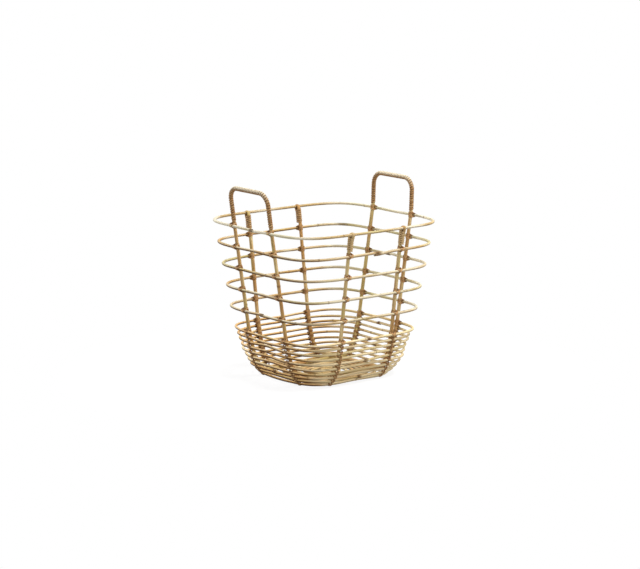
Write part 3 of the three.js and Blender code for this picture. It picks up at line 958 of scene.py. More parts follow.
@dataclass
class BasketShape:
    """Lines of the basket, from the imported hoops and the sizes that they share."""

    wall: list[Level]
    bowl: list[Level]
    handle_offset: float
    plain_offset: float
    rib_radius: float = 0.004
    clearance: float = 0.0003
    bend_start: float = 0.0525
    floor_pitch: float = 0.0124
    floor_eye: float = 0.010
    handle_knee: float = 0.0085
    handle_bend: float = 0.026
    tail_radius: float = 0.0013
    tail_reach: float = 0.0040
    fold_radius: float = 0.0026
    tail_standoff: float = 0.013
    outline_marks: int = 801
    corner_ease: float = 2.5

    @classmethod
    def of_frame(cls) -> "BasketShape":
        """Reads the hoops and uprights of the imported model."""
        names = ("rim_hoop", *(f"wall_hoop_{k}" for k in range(1, 5)))
        wall = [Level.of_node(name, WALL_SQUARENESS) for name in names]
        bowl = [Level.of_node("bowl_hoop_1", WALL_SQUARENESS)]
        bowl += [Level.of_node(f"bowl_hoop_{k}", BOWL_SQUARENESS) for k in range(2, 11)]
        handle_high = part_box("handle_rod_1")[1].y
        rib_low, rib_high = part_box("plain_rib_1")
        shape = cls(wall, bowl, 0.0, abs(rib_low.x + rib_high.x) / 2.0)
        shape.handle_offset = handle_high - shape.rib_radius
        return shape

    @property
    def levels(self) -> list[Level]:
        """Every hoop from the rim down."""
        return [*self.wall, *self.bowl]

    def offset(self, side: Side) -> float:
        """Distance of an upright from the middle of its side."""
        return self.handle_offset if side is Side.HANDLE else self.plain_offset

    def outline(self, length: float, width: float, turn: np.ndarray, exponent: np.ndarray) -> np.ndarray:
        """Gives points of a rounded-square outline.

        Args:
            length: Half length, along X.
            width: Half width, along Y.
            turn: Turns from the X axis.
            exponent: Squareness at each point.

        Returns:
            X and Y, one row per point.
        """
        cosine, sine = np.cos(turn), np.sin(turn)
        x = length * np.sign(cosine) * np.abs(cosine) ** (2.0 / exponent)
        y = width * np.sign(sine) * np.abs(sine) ** (2.0 / exponent)
        return np.stack([x, y], axis=1)

    def hoop_line(self, level: Level, start_side: int, step: float) -> np.ndarray:
        """Gives a hoop's centre line once round, from the middle of a side.

        Args:
            level: The hoop.
            start_side: Quarter turns from +X to the side where it starts.
            step: Distance between points.

        Returns:
            Points at even steps, with the first again at the end.
        """
        quarter = math.pi / 2.0
        share = np.linspace(-1.0, 1.0, self.outline_marks)
        bent = 0.5 * np.sign(share) * np.abs(share) ** self.corner_ease + 0.5
        turns = np.concatenate([(q + bent[:-1]) * quarter for q in range(4)] + [[4.0 * quarter]])
        squareness = np.full(len(turns), level.squareness)
        flat = even_steps(self.outline(level.half_length, level.half_width, turns, squareness), step)[:-1]
        ways = np.array([[1.0, 0.0], [0.0, 1.0], [-1.0, 0.0], [0.0, -1.0]])
        off_middle = np.abs(flat @ ways[start_side - 1])
        start = int(np.argmax(flat @ ways[start_side] - 1e-3 * off_middle))
        flat = np.roll(flat, -start, axis=0)
        flat = np.concatenate([flat, flat[:1]])
        return np.c_[flat, np.full(len(flat), level.height)]

    def crossing(self, level: Level, side: Side) -> tuple[float, float]:
        """Gives where a hoop crosses an upright.

        Args:
            level: The hoop.
            side: The side of the upright.

        Returns:
            The distance from the basket's middle, and the hoop's slant there.
        """
        half, other = level.half_length, level.half_width
        if side is Side.PLAIN:
            half, other = other, half
        share = self.offset(side) / other
        power = level.squareness
        rest = 1.0 - share**power
        slant = (half / other) * share ** (power - 1.0)
        return half * rest ** (1.0 / power), slant * rest ** (1.0 / power - 1.0)

    def track(self, side: Side) -> list[Crossing]:
        """Gives the crossings of an upright from the rim down, with the floor's at the end."""
        hoops = []
        for level in self.levels:
            reach, slant = self.crossing(level, side)
            hoops.append((np.array([reach, level.height]), level.radius, slant))
        last, radius, _ = hoops[-1]
        hoops.append((last - np.array([self.floor_pitch, 0.0]), radius, 0.0))
        floor_height = last[1]
        found = []
        for k, (centre, radius, slant) in enumerate(hoops):
            above = hoops[max(k - 1, 0)][0]
            below = hoops[min(k + 1, len(hoops) - 1)][0]
            up = unit(above - below)
            is_floor = k == len(hoops) - 1
            out = np.array([0.0, -1.0]) if is_floor else np.array([up[1], -up[0]])
            rib = centre - out * (radius + self.rib_radius + self.clearance) * math.hypot(1.0, slant)
            bent = min(max((self.bend_start - centre[1]) / (self.bend_start - floor_height), 0.0), 1.0)
            if side is Side.PLAIN:
                rib = rib + np.array([0.0, (2.0 * self.rib_radius + self.clearance) * bent**2])
            found.append(Crossing(centre, rib, out, radius, slant))
        return found

    def place(self, upright: Upright, flat: np.ndarray) -> np.ndarray:
        """Places points of an upright's plane, one per row, in space."""
        flat = np.atleast_2d(flat)
        offset = np.full(len(flat), upright.way * self.offset(upright.side))
        if upright.side is Side.HANDLE:
            return np.stack([upright.sign * flat[:, 0], offset, flat[:, 1]], axis=1)
        return np.stack([offset, upright.sign * flat[:, 0], flat[:, 1]], axis=1)

    def knot(self, upright: Upright, k: int) -> Knot:
        """Gives the local frame of an upright's crossing with hoop k."""
        crossing = self.track(upright.side)[k]
        out_flat = unit(crossing.hoop - crossing.rib)
        up_flat = np.array([-out_flat[1], out_flat[0]])
        origin = self.place(upright, crossing.hoop)[0]
        outward = self.place(upright, crossing.hoop + out_flat)[0] - origin
        up = self.place(upright, crossing.hoop + up_flat)[0] - origin
        along = np.array([0.0, 1.0, 0.0]) if upright.side is Side.HANDLE else np.array([1.0, 0.0, 0.0])
        along = unit(along - upright.way * crossing.slant * outward)
        out = unit(outward - along * (outward @ along))
        gap = self.place(upright, crossing.rib)[0] - origin
        rib = np.array([gap @ along, gap @ up, gap @ out])
        return Knot(origin, along, up, out, rib, crossing.radius)

    @property
    def knee(self) -> np.ndarray:
        """Where a handle leaves the wall's lean, in an upright's plane."""
        foot = self.track(Side.HANDLE)[0]
        return foot.rib + self.handle_knee * np.array([-foot.out[1], foot.out[0]])

    def leg_length(self, handle: Handle) -> float:
        """Length of a handle's leg above its knee, with its bend drawn square."""
        return (self.wall[0].height + handle.rise - self.knee[1]) / math.cos(handle.lean)

    def arch_length(self, handle: Handle) -> float:
        """Run of a handle from one knee over the grip to the other."""
        straight = self.leg_length(handle) - self.handle_bend
        grip = 2.0 * (self.handle_offset - self.handle_bend)
        return 2.0 * straight + math.pi * self.handle_bend + grip

    def arch(self, handle: Handle, run: np.ndarray) -> tuple[np.ndarray, np.ndarray]:
        """Gives points of a handle's centre line above its knees.

        Args:
            handle: Which handle.
            run: Runs from the knee of its +Y leg.

        Returns:
            The points, one per row, and the way out of the handle's plane.
        """
        straight = self.leg_length(handle) - self.handle_bend
        length = self.arch_length(handle)
        bend_run = math.pi * self.handle_bend / 2.0
        half_run = np.minimum(run, length - run)
        inner = self.handle_offset - self.handle_bend
        turn = np.clip((half_run - straight) / self.handle_bend, 0.0, math.pi / 2.0)
        past = np.maximum(half_run - straight - bend_run, 0.0)
        across = inner + self.handle_bend * np.cos(turn) - past
        across = np.where(run * 2.0 <= length, across, -across)
        up = np.minimum(half_run, straight) + self.handle_bend * np.sin(turn)
        reach = self.knee[0] + up * math.sin(handle.lean)
        height = self.knee[1] + up * math.cos(handle.lean)
        points = np.stack([handle.sign * reach, across, height], axis=1)
        return points, np.array([handle.sign * math.cos(handle.lean), 0.0, -math.sin(handle.lean)])


# Sub-assemblies


@dataclass
class Hoops:
    """The rim, the open hoops of the wall and the close-set hoops of the bowl."""

    shape: BasketShape
    stock: RattanStock
    guide_step: float = 0.004
    scarf_slope: float = 3.2
    scarf_rise: float = 0.0007
    scarf_hang: float = 0.0009
    scarf_run: float = 0.045
    scarf_gap: float = 0.0003
    loose_hoop: str = "wall_hoop_1"
    loose_hang: float = 0.0030
    loose_stain: tuple[float, float, float] = (0.363, 0.018, 0.65)
    lap_steps: int = 8
    spare: float = 1.05
    under_stain: float = 0.6
    side_marks: int = 5
    swelling: Pair = (0.02, 7.0)
    wall_wave: float = 0.0009
    bowl_wave: float = 0.0016
    # Each list of tones is followed by shares of painted shade along the undersides, one for each side of
    # the basket.
    wall_tones: tuple[float, ...] = (-1.8, 0.6, 0.0, -0.2)
    wall_under_shades: tuple[float, ...] = (0.0, 0.8, 1.25, 0.55)
    rim_tones: tuple[float, ...] = (-1.2, 0.6, -1.6, 0.4)
    rim_under_shades: tuple[float, ...] = (0.0, 0.6, 0.1, 0.5)
    bowl_tones: tuple[float, ...] = (-0.6, 0.8, 0.6, -1.2)
    bowl_under_shades: tuple[float, ...] = (0.2, 1.0, 1.2, 0.4)

    def build(self) -> dict[str, bpy.types.Object]:
        """Builds every hoop, by the name of its node."""
        made = {}
        for k, level in enumerate(self.shape.levels):
            made[level.node] = self._hoop(level, (k + 2) % 4)
        return made

    def _hoop(self, level: Level, start_side: int) -> bpy.types.Object:
        """Builds one hoop with its slanted joint."""
        line = self.shape.hoop_line(level, start_side, self.guide_step)
        line = self._waved(line, level)
        run = run_along(line)
        length = run[-1]
        lap = self.lap_steps
        guide = np.concatenate([line[-1 - lap:-1], line, line[1:lap + 1]])
        lead = run_along(guide)[lap]
        run_guide = run_along(guide) - lead
        into = 1.0 - smooth_step(np.abs(run_guide) / self.scarf_run)
        outof = 1.0 - smooth_step(np.abs(length - run_guide) / self.scarf_run)
        is_loose = level.node == self.loose_hoop
        hang = self.loose_hang if is_loose else self.scarf_hang
        guide[:, 2] += self.scarf_rise * outof - hang * into
        lapped = 0.5 * self.scarf_slope * (hang + self.scarf_rise - self.scarf_gap)
        half = self.scarf_slope * level.radius + lapped
        name = f"{level.node}_rattan"
        spare = half * self.spare
        bar = self.stock.model(name, lead - spare, lead + length + spare, level.radius)
        cut_slanted(bar, lead - lapped, self.scarf_slope, True)
        cut_slanted(bar, lead + length + lapped, self.scarf_slope, False)
        stains = [(lead, half, 1.0), (lead + length, half * self.under_stain, 1.0)]
        if is_loose:
            place, reach, share = self.loose_stain
            stains.append((lead + place * length, reach, share))
        # picks this hoop set's tones and its painted underside shade
        sides, under_shades = self.bowl_tones, self.bowl_under_shades
        if level is self.shape.wall[0]:
            sides, under_shades = self.rim_tones, self.rim_under_shades
        elif level in self.shape.wall:
            sides, under_shades = self.wall_tones, self.wall_under_shades
        marks = self.side_marks
        quarters = [(start_side + (k + marks // 2) // marks) % 4 for k in range(4 * marks + 1)]
        tones, under_shades = ([values[quarter] for quarter in quarters] for values in (sides, under_shades))
        self.stock.weather(bar, tones, stains, under_shades)
        height, pace = self.swelling
        thickness = 1.0 + height * np.sin(run_guide * pace + self.stock.chance.uniform(*PHASES))
        bend(bar, guide, thickness, Twist.LEVEL)
        smooth_faces(bar)
        return bar

    def _waved(self, line: np.ndarray, level: Level) -> np.ndarray:
        """Gives a hoop its small waves between the uprights, where lashings hold it true."""
        turn = np.arctan2(line[:, 1] / level.half_width, line[:, 0] / level.half_length)
        handle = math.atan2(self.shape.handle_offset / level.half_width, 1.0)
        plain = math.atan2(1.0, self.shape.plain_offset / level.half_length)
        marks = sorted(
            mark for base in (handle, plain, math.pi - plain, math.pi - handle) for mark in (base, -base)
        )
        marks = [marks[-1] - 2.0 * math.pi, *marks, marks[0] + 2.0 * math.pi]
        waved = line.copy()
        wave = self.wall_wave if level in self.shape.wall else self.bowl_wave
        for first, last in zip(marks[:-1], marks[1:]):
            for whole in (0.0, 2.0 * math.pi, -2.0 * math.pi):
                share = (turn + whole - first) / (last - first)
                inside = (share > 0.0) & (share < 1.0)
                if whole == 0.0:
                    rise, swing = (self.stock.chance.uniform(-1.0, 1.0) for _ in range(2))
                bump = np.where(inside, np.sin(math.pi * share) ** 2, 0.0) * wave
                waved[:, 2] += rise * bump
                waved[:, :2] += (swing * bump)[:, None] * unit(line[:, :2])
        return waved


@dataclass
class Floor:
    """The floor: one rod wound flat from the bowl in to an eye."""

    shape: BasketShape
    stock: RattanStock
    steps: int = 96
    guide_step: float = 0.004
    rounds: int = 3
    tones: Pair = (0.5, 0.2)
    # painted shade along the coil's underside
    lacquer_and_under_shade: float = 0.8

    def build(self) -> bpy.types.Object:
        """Builds the coil."""
        shape = self.shape
        last = shape.bowl[-1]
        length = last.half_length - shape.floor_pitch
        width = last.half_width - shape.floor_pitch
        turns = (width - shape.floor_eye) / shape.floor_pitch
        start = math.asin((shape.handle_offset / width) ** (last.squareness / 2.0))
        share = np.linspace(0.0, 1.0, int(round(turns * self.steps)) + 1)
        inset = share * turns * shape.floor_pitch
        exponent = last.squareness + (2.0 - last.squareness) * share**2
        turn = start + share * turns * 2.0 * math.pi
        outer = shape.outline(1.0, 1.0, turn, exponent)
        flat = outer * np.stack([length - inset, width - inset], axis=1)
        level = np.c_[flat, np.full(len(flat), last.height)]
        guide = eased(even_steps(level, self.guide_step), self.rounds)
        bar = self.stock.model("floor_coil_rattan", 0.0, run_along(guide)[-1], last.radius)
        self.stock.weather(bar, self.tones, under_shades=(self.lacquer_and_under_shade,))
        bend(bar, guide, np.ones(len(guide)), Twist.LEVEL)
        smooth_faces(bar)
        return bar


@dataclass
class Uprights:
    """The plain uprights with their folded tails, and the handle rods."""

    shape: BasketShape
    stock: RattanStock
    guide_step: float = 0.003
    loop_steps: int = 16
    tail_steps: int = 12
    tail_draw: float = 2.6
    fold_stain: Pair = (0.009, 0.45)
    end_bevel: float = 0.0006
    end_gap: float = 0.0004
    arch_steps: int = 160
    plain_rounds: int = 3
    handle_rounds: int = 4
    plain_tones: Pair = (1.1, -0.4)
    handle_tones: Pair = (0.2, 0.3)

    def build(self) -> dict[str, bpy.types.Object]:
        """Builds the four rods, by the names of their nodes."""
        made = {}
        for number, way in ((1, -1), (2, 1)):
            made[f"plain_rib_{number}"] = self._plain(f"plain_rib_{number}_rattan", way)
        for handle in HANDLES:
            made[f"handle_rod_{handle.number}"] = self._handle(handle)
        return made

    def _bent(
        self, name: str, way: np.ndarray, rounds: int, tones: Sequence[float], fold: float = 0.0
    ) -> bpy.types.Object:
        """Bends a rod along a line of points, its radius and its reach across at each, in five columns."""
        both = eased(even_steps(way, self.guide_step, run_along(way[:, :3])), rounds)
        guide, thickness = both[:, :3], both[:, 3] / self.shape.rib_radius
        length = run_along(guide)[-1]
        bar = self.stock.model(name, 0.0, length, self.shape.rib_radius)
        self._round_ends(bar)
        folds = [(place, *self.fold_stain) for place in (fold, length - fold)] if fold else []
        self.stock.weather(bar, tones, folds)
        points = points_of(bar.data)
        points[:, 1] *= np.interp(points[:, 0], run_along(guide), both[:, 4] / both[:, 3])
        set_points(bar.data, points)
        bend(bar, guide, thickness, Twist.FREE)
        smooth_faces(bar)
        return bar

    def _round_ends(self, bar: bpy.types.Object) -> None:
        """Bevels the sawn ends of a straight rod."""
        mesh = bar.data
        along = points_of(mesh)[:, 0]
        at_end = (along < along.min() + SAME_PLACE) | (along > along.max() - SAME_PLACE)
        rim = at_end[edge_ends(mesh)].all(axis=1)
        select_parts(mesh, np.zeros(len(mesh.vertices), bool), rim)
        with editing(bar, "EDGE"):
            bpy.ops.mesh.bevel(offset=self.end_bevel, segments=2, affect="EDGES")

    @property
    def tail_length(self) -> float:
        """Length of a folded tail below the rim's centre."""
        shape = self.shape
        return shape.wall[0].height - shape.wall[1].height - shape.tail_standoff

    def tail_out(self, down: np.ndarray) -> np.ndarray:
        """Gives how far a tail stands out from the rim's centre, at distances down the wall."""
        shape = self.shape
        top = shape.wall[0].radius + shape.clearance + shape.tail_radius
        end = shape.tail_radius - shape.wall[0].radius
        drawn = end + (top - end) * np.clip(1.0 - down / self.tail_length, 0.0, 1.0) ** self.tail_draw
        return np.maximum(drawn, np.sqrt(np.clip(top**2 - down**2, 0.0, None)))

    def rim_points(self, upright: Upright, out: np.ndarray, up: np.ndarray) -> np.ndarray:
        """Gives points beside the rim, out from its centre and up the wall."""
        crossing = self.shape.track(upright.side)[0]
        rise = np.array([-crossing.out[1], crossing.out[0]])
        return self.shape.place(upright, crossing.hoop + np.outer(out, crossing.out) + np.outer(up, rise))

    def _plain(self, name: str, way: int) -> bpy.types.Object:
        """Builds a plain upright from tail to tail."""
        shape = self.shape
        down = np.linspace(self.tail_length, 0.0, self.tail_steps, endpoint=False)
        halves = []
        for sign in (1, -1):
            upright = Upright(0, Side.PLAIN, sign, way)
            turn = np.linspace(0.0, math.pi, self.loop_steps, endpoint=False)
            radius = shape.tail_radius + (shape.fold_radius - shape.tail_radius) * (turn / math.pi) ** 3
            reach = shape.wall[0].radius + shape.clearance + radius
            loop = self.rim_points(upright, reach * np.cos(turn), reach * np.sin(turn))
            tail = self.rim_points(upright, self.tail_out(down), -down)
            rib = shape.place(upright, np.array([crossing.rib for crossing in shape.track(Side.PLAIN)]))
            radii = np.concatenate(
                [np.full(len(tail), shape.tail_radius), radius, np.full(len(rib), shape.rib_radius)]
            )
            radii[len(tail) + len(loop)] = shape.fold_radius
            across = np.full(len(radii), shape.rib_radius)
            across[: len(tail)] = np.linspace(shape.tail_radius, shape.tail_reach, len(tail)) ** 0.5
            across[: len(tail)] *= shape.tail_reach**0.5
            halves.append(np.c_[np.concatenate([tail, loop, rib]), radii, across])
        line = np.concatenate([halves[0], halves[1][::-1]])
        return self._bent(name, line, self.plain_rounds, self.plain_tones, self.tail_length)

    def _handle(self, handle: Handle) -> bpy.types.Object:
        """Builds a handle rod from the middle of the floor over the grip and back."""
        shape = self.shape
        track = shape.track(Side.HANDLE)
        legs = []
        for way in (1, -1):
            upright = Upright(0, Side.HANDLE, handle.sign, way)
            leg = shape.place(upright, np.array([crossing.rib for crossing in track]))
            end = np.array([handle.sign * self.end_gap, *leg[-1][1:]])
            legs.append(np.concatenate([leg, end[None]]))
        arch, _ = shape.arch(handle, np.linspace(0.0, shape.arch_length(handle), self.arch_steps))
        line = np.concatenate([legs[0][::-1], arch, legs[1]])
        name = f"handle_rod_{handle.number}_rattan"
        radii = np.full(len(line), shape.rib_radius)
        return self._bent(name, np.c_[line, radii, radii], self.handle_rounds, self.handle_tones)


@dataclass
class HandleWindings:
    """Cane wound round each handle above the rim."""

    shape: BasketShape
    stock: CaneStock
    turns: int = 50
    steps: int = 24
    start: float = 0.0010
    width: float = 0.0046
    crown: float = 0.0012
    standoff: float = 0.00012
    # painted highlight on the grip's upper side, together with its wear
    wear_and_light: float = 0.85
    wear_and_light_band: Pair = (-0.4, 0.4)
    probe: float = 1e-4

    def build(self) -> dict[str, bpy.types.Object]:
        """Builds both windings, by the names of their nodes."""
        return {f"handle_wrap_{handle.number}": self._winding(handle) for handle in HANDLES}

    def _winding(self, handle: Handle) -> bpy.types.Object:
        """Winds one handle."""
        shape = self.shape
        share = np.linspace(0.0, 1.0, self.turns * self.steps + 1)
        run = self.start + share * (shape.arch_length(handle) - 2.0 * self.start)
        turn = share * self.turns * 2.0 * math.pi
        centre, out = shape.arch(handle, run)
        ahead, _ = shape.arch(handle, run + self.probe)
        behind, _ = shape.arch(handle, run - self.probe)
        forward = unit(ahead - behind)
        across = np.cross(forward, out)
        away = np.outer(np.cos(turn), out) + np.sin(turn)[:, None] * across
        points = centre + away * (shape.rib_radius + self.standoff)
        step = 2.0 * math.pi * shape.rib_radius / self.steps
        name = f"handle_wrap_{handle.number}_cane"
        # paler on the upper side of the grip: painted top light, with wear
        low, high = self.wear_and_light_band
        wear_and_painted_light = smooth_step((away[:, 2] - low) / (high - low))
        wear_and_painted_light = self.wear_and_light * wear_and_painted_light * (1.0 - forward[:, 2] ** 2)
        return self.stock.lay(name, np.c_[points, away, wear_and_painted_light], self.width, self.crown, step)


@dataclass
class Lashings:
    """Cane lashings of hoops on uprights: crosses on the wall, running crosses on the bowl, bound tails."""

    shape: BasketShape
    stock: CaneStock
    uprights: Uprights
    width: float = 0.0022
    crown: float = 0.0009
    standoff: float = 0.00015
    reach: float = 0.0056
    rise: float = 0.0042
    spread: float = 0.0046
    loops: int = 3
    rim_worn: float = 0.7
    wall_worn: float = 0.1
    neck_radius: float = 0.0043
    neck_square: float = 0.0004
    neck_dip: float = 0.0016
    neck_turns: float = 2.2
    face_turn: float = math.radians(100.0)
    back_turn: float = math.radians(84.0)
    step: float = 0.0011
    bowl_reach: float = 0.0036
    bowl_spread: float = 0.0026
    tail_pitch: float = 0.0041
    tail_start: float = 0.0055
    tail_width: float = 0.0036
    # front tails paler than far ones: painted light, with wear
    tail_wear_and_light: Pair = (0.5, 0.15)
    tail_steps: int = 40
    tail_spare: float = 0.001
    wear_and_light_band: Pair = (0.001, 0.0035)
    face_hump: float = 1.1
    back_hump: float = 1.2
    face_steps: int = 15
    running_steps: int = 13
    last_steps: int = 11
    back_steps: int = 11
    lead_in: int = 4
    loop_part: Pair = (0.17, 0.83)
    neck_steps: int = 60
    neck_start: float = 0.3
    neck_growth: float = 0.0004

    def build(self) -> dict[str, bpy.types.Object]:
        """Builds the lashings of the open hoops, by the names of their nodes."""
        made = {}
        for upright in UPRIGHTS:
            for k in range(len(self.shape.wall)):
                if k == 0 and upright.side is Side.PLAIN:
                    continue
                stem = f"rim_lashing_{upright.number}" if k == 0 else f"wall_lashing_{k}_{upright.number}"
                wear_and_light = self.rim_worn if k == 0 else self.wall_worn
                made[stem] = joined(f"{stem}_cane", self._cross(stem, self.shape.knot(upright, k), wear_and_light))
        return made

    def build_bowl(self) -> list[bpy.types.Object]:
        """Builds the running lashing of the bowl on each upright."""
        made = []
        for upright in UPRIGHTS:
            stem = f"bowl_lashing_{upright.number}"
            strips = self._cross(stem, self.shape.knot(upright, len(self.shape.wall)), self.wall_worn)
            for way in (1, -1):
                for shift in (-self.bowl_spread / 2.0, self.bowl_spread / 2.0):
                    strips.append(self._running(f"{stem}_{len(strips)}", upright, way, shift))
            made.append(joined(f"{stem}_cane", strips))
        return made

    def build_tails(self) -> list[bpy.types.Object]:
        """Builds the bindings of the folded tails."""
        made = []
        for upright in UPRIGHTS:
            if upright.side is Side.PLAIN:
                number = 1 if upright.way < 0 else 2
                place = 1 if upright.sign < 0 else 2
                made.append(self._tail(f"plain_rib_{number}_binding_{place}", upright))
        return made

    def _face(
        self, knot: Knot, way: int, shift: np.ndarray, reach: float, lift: float, wear_and_light: float
    ) -> np.ndarray:
        """Leads cane over a hoop's face, slantwise from above to below.

        Args:
            knot: Frame of the crossing.
            way: Which way it slants.
            shift: Shift along the hoop at each station.
            reach: Distance to each side of the upright.
            lift: How far it is lifted where it crosses the other cane.
            wear_and_light: How much wear pales it on the face.

        Returns:
            Points, ways out and rub, seven columns.
        """
        turn = np.linspace(self.face_turn, -self.face_turn, len(shift))
        radius = knot.hoop_radius + self.standoff + lift * hump(turn * self.face_hump)
        along = shift - way * reach * turn / self.face_turn
        zero = np.zeros(len(turn))
        points = knot.at(along, radius * np.sin(turn), radius * np.cos(turn))
        low, high = self.wear_and_light_band
        wear_and_painted_light = wear_and_light * smooth_step((radius * np.cos(turn) - low) / (high - low))
        return np.c_[points, knot.toward(zero, np.sin(turn), np.cos(turn)), wear_and_painted_light]

    def _back(self, knot: Knot, way: int, start: float, end: float, lift: float) -> np.ndarray:
        """Leads cane behind an upright.

        Args:
            knot: Frame of the crossing.
            way: Which side it starts on.
            start: Height at its start.
            end: Height at its end.
            lift: How far it is lifted where it crosses the other cane.

        Returns:
            Points, ways out and rub, seven columns.
        """
        turn = way * np.linspace(self.back_turn, -self.back_turn, self.back_steps)
        radius = self.shape.rib_radius + self.standoff + lift * hump(turn * self.back_hump)
        along = knot.rib[0] + radius * np.sin(turn)
        out = knot.rib[2] - radius * np.cos(turn)
        height = np.linspace(start, end, len(turn))
        points = knot.at(along, height, out)
        zero = np.zeros(len(turn))
        return np.c_[points, knot.toward(np.sin(turn), zero, -np.cos(turn)), zero]

    def _neck(self, knot: Knot) -> np.ndarray:
        """Leads cane round the neck between hoop and upright, behind the one and before the other."""
        turn = self.neck_start + np.linspace(0.0, self.neck_turns * 2.0 * math.pi, self.neck_steps)
        radius = self.neck_radius - self.neck_square * np.cos(4.0 * turn) + self.neck_growth * turn / math.pi
        along, up = radius * np.cos(turn), radius * np.sin(turn)
        out = -(knot.hoop_radius + self.shape.clearance / 2.0) - self.neck_dip * np.cos(2.0 * turn)
        zero = np.zeros(len(turn))
        return np.c_[knot.at(along, up, out), knot.toward(np.cos(turn), np.sin(turn), zero), zero]

    def _strip(self, name: str, passes: Sequence[np.ndarray]) -> bpy.types.Object:
        """Lays one strand along its passes."""
        return self.stock.lay(name, np.concatenate(passes), self.width, self.crown, self.step)

    def _cross(self, stem: str, knot: Knot, wear_and_light: float) -> list[bpy.types.Object]:
        """Lays the strands of a cross: two go round hoop and upright slantwise, one draws them in."""
        strips = [self._strip(f"{stem}_neck", [self._neck(knot)])]
        for way, lift in ((1, 0.0), (-1, self.crown)):
            passes = []
            for loop in range(self.loops):
                first, last = (self.spread * ((loop + part) / self.loops - 0.5) for part in self.loop_part)
                shift = np.linspace(first, last, self.face_steps)
                mean = (first + last) / 2.0
                if loop == 0:
                    passes.append(self._back(knot, way, 0.0, self.rise - first, lift)[-self.lead_in :])
                passes.append(self._face(knot, way, way * shift, self.reach, lift, wear_and_light))
                passes.append(self._back(knot, way, -self.rise - mean, self.rise - last, lift))
            strips.append(self._strip(f"{stem}_{way}", passes))
        return strips

    def _running(self, name: str, upright: Upright, way: int, shift: float) -> bpy.types.Object:
        """Lays one strand that runs down the bowl, over each hoop and behind the upright below it."""
        first = len(self.shape.wall)
        knots = [self.shape.knot(upright, k) for k in range(first, first + len(self.shape.bowl))]
        lift = 0.0 if way > 0 else self.crown
        passes = []
        for knot, below in zip(knots, [*knots[1:], None]):
            is_last = below is None
            shifts = np.full(self.running_steps, shift)
            lifted = lift / (1 + is_last)
            face = self._face(knot, way, shifts, self.bowl_reach, lifted, self.wall_worn)
            passes.append(face[: self.last_steps] if is_last else face)
            if not is_last:
                half = Knot(
                    (knot.origin + below.origin) / 2.0,
                    unit(knot.along + below.along),
                    unit(knot.up + below.up),
                    unit(knot.out + below.out),
                    (knot.rib + below.rib) / 2.0,
                    knot.hoop_radius,
                )
                passes.append(self._back(half, way, -shift * way, -shift * way, lift))
        return self._strip(name, passes)

    def _tail(self, name: str, upright: Upright) -> bpy.types.Object:
        """Binds a folded tail to its upright."""
        shape = self.shape
        length = self.uprights.tail_length
        rib_out = -(shape.wall[0].radius + shape.clearance + shape.rib_radius)
        turns = (length - self.tail_start) / self.tail_pitch
        turn = np.linspace(0.0, turns * 2.0 * math.pi, int(turns * self.tail_steps))
        down = self.tail_start + (length + self.tail_spare - self.tail_start) * turn / turn[-1]
        tail = self.uprights.tail_out(down)
        on_tail = np.cos(turn) > 0.0
        radius = np.where(on_tail, shape.tail_radius, shape.rib_radius) + self.standoff
        reach = np.where(on_tail, shape.tail_reach, shape.rib_radius) + self.standoff
        out = np.where(on_tail, tail, rib_out) + radius * np.cos(turn)
        points = self.uprights.rim_points(upright, out, -down)
        points[:, 0] += reach * np.sin(turn)
        outward = self.uprights.rim_points(upright, np.array([1.0]), np.array([0.0]))
        outward = outward[0] - self.uprights.rim_points(upright, np.array([0.0]), np.array([0.0]))[0]
        away = np.outer(np.cos(turn), outward)
        away[:, 0] += np.sin(turn)
        # front tails paler than far ones: painted light, with wear
        wear_and_light = self.tail_wear_and_light[0 if upright.sign < 0 else 1]
        way = np.c_[points, away, np.full(len(points), wear_and_light)]
        return self.stock.lay(name, way, self.tail_width, self.crown, self.step)


@dataclass(frozen=True)
class Lamp:
    """A square soft lamp: its place from the basket's middle, its side, and its level there."""

    name: str
    right: float
    toward: float
    up: float
    size: float
    level: float

    def hang(self, aim: Vector, right: Vector, toward: Vector) -> None:
        """Adds the lamp; at level 1 it alone shows a colour as it is written.

        Args:
            aim: The basket's middle.
            right: The camera's right.
            toward: The level way to the camera.
        """
        place = aim + right * self.right + toward * self.toward + Vector((0.0, 0.0, self.up))
        data = bpy.data.lights.new(self.name, "AREA")
        data.shape = "SQUARE"
        data.size = self.size
        data.energy = self.level * math.pi**2 * (place - aim).length_squared
        lamp = bpy.data.objects.new(self.name, data)
        lamp.location = place
        lamp.rotation_mode = "QUATERNION"
        lamp.rotation_quaternion = (aim - place).to_track_quat("-Z", "Y")
        bpy.context.scene.collection.objects.link(lamp)


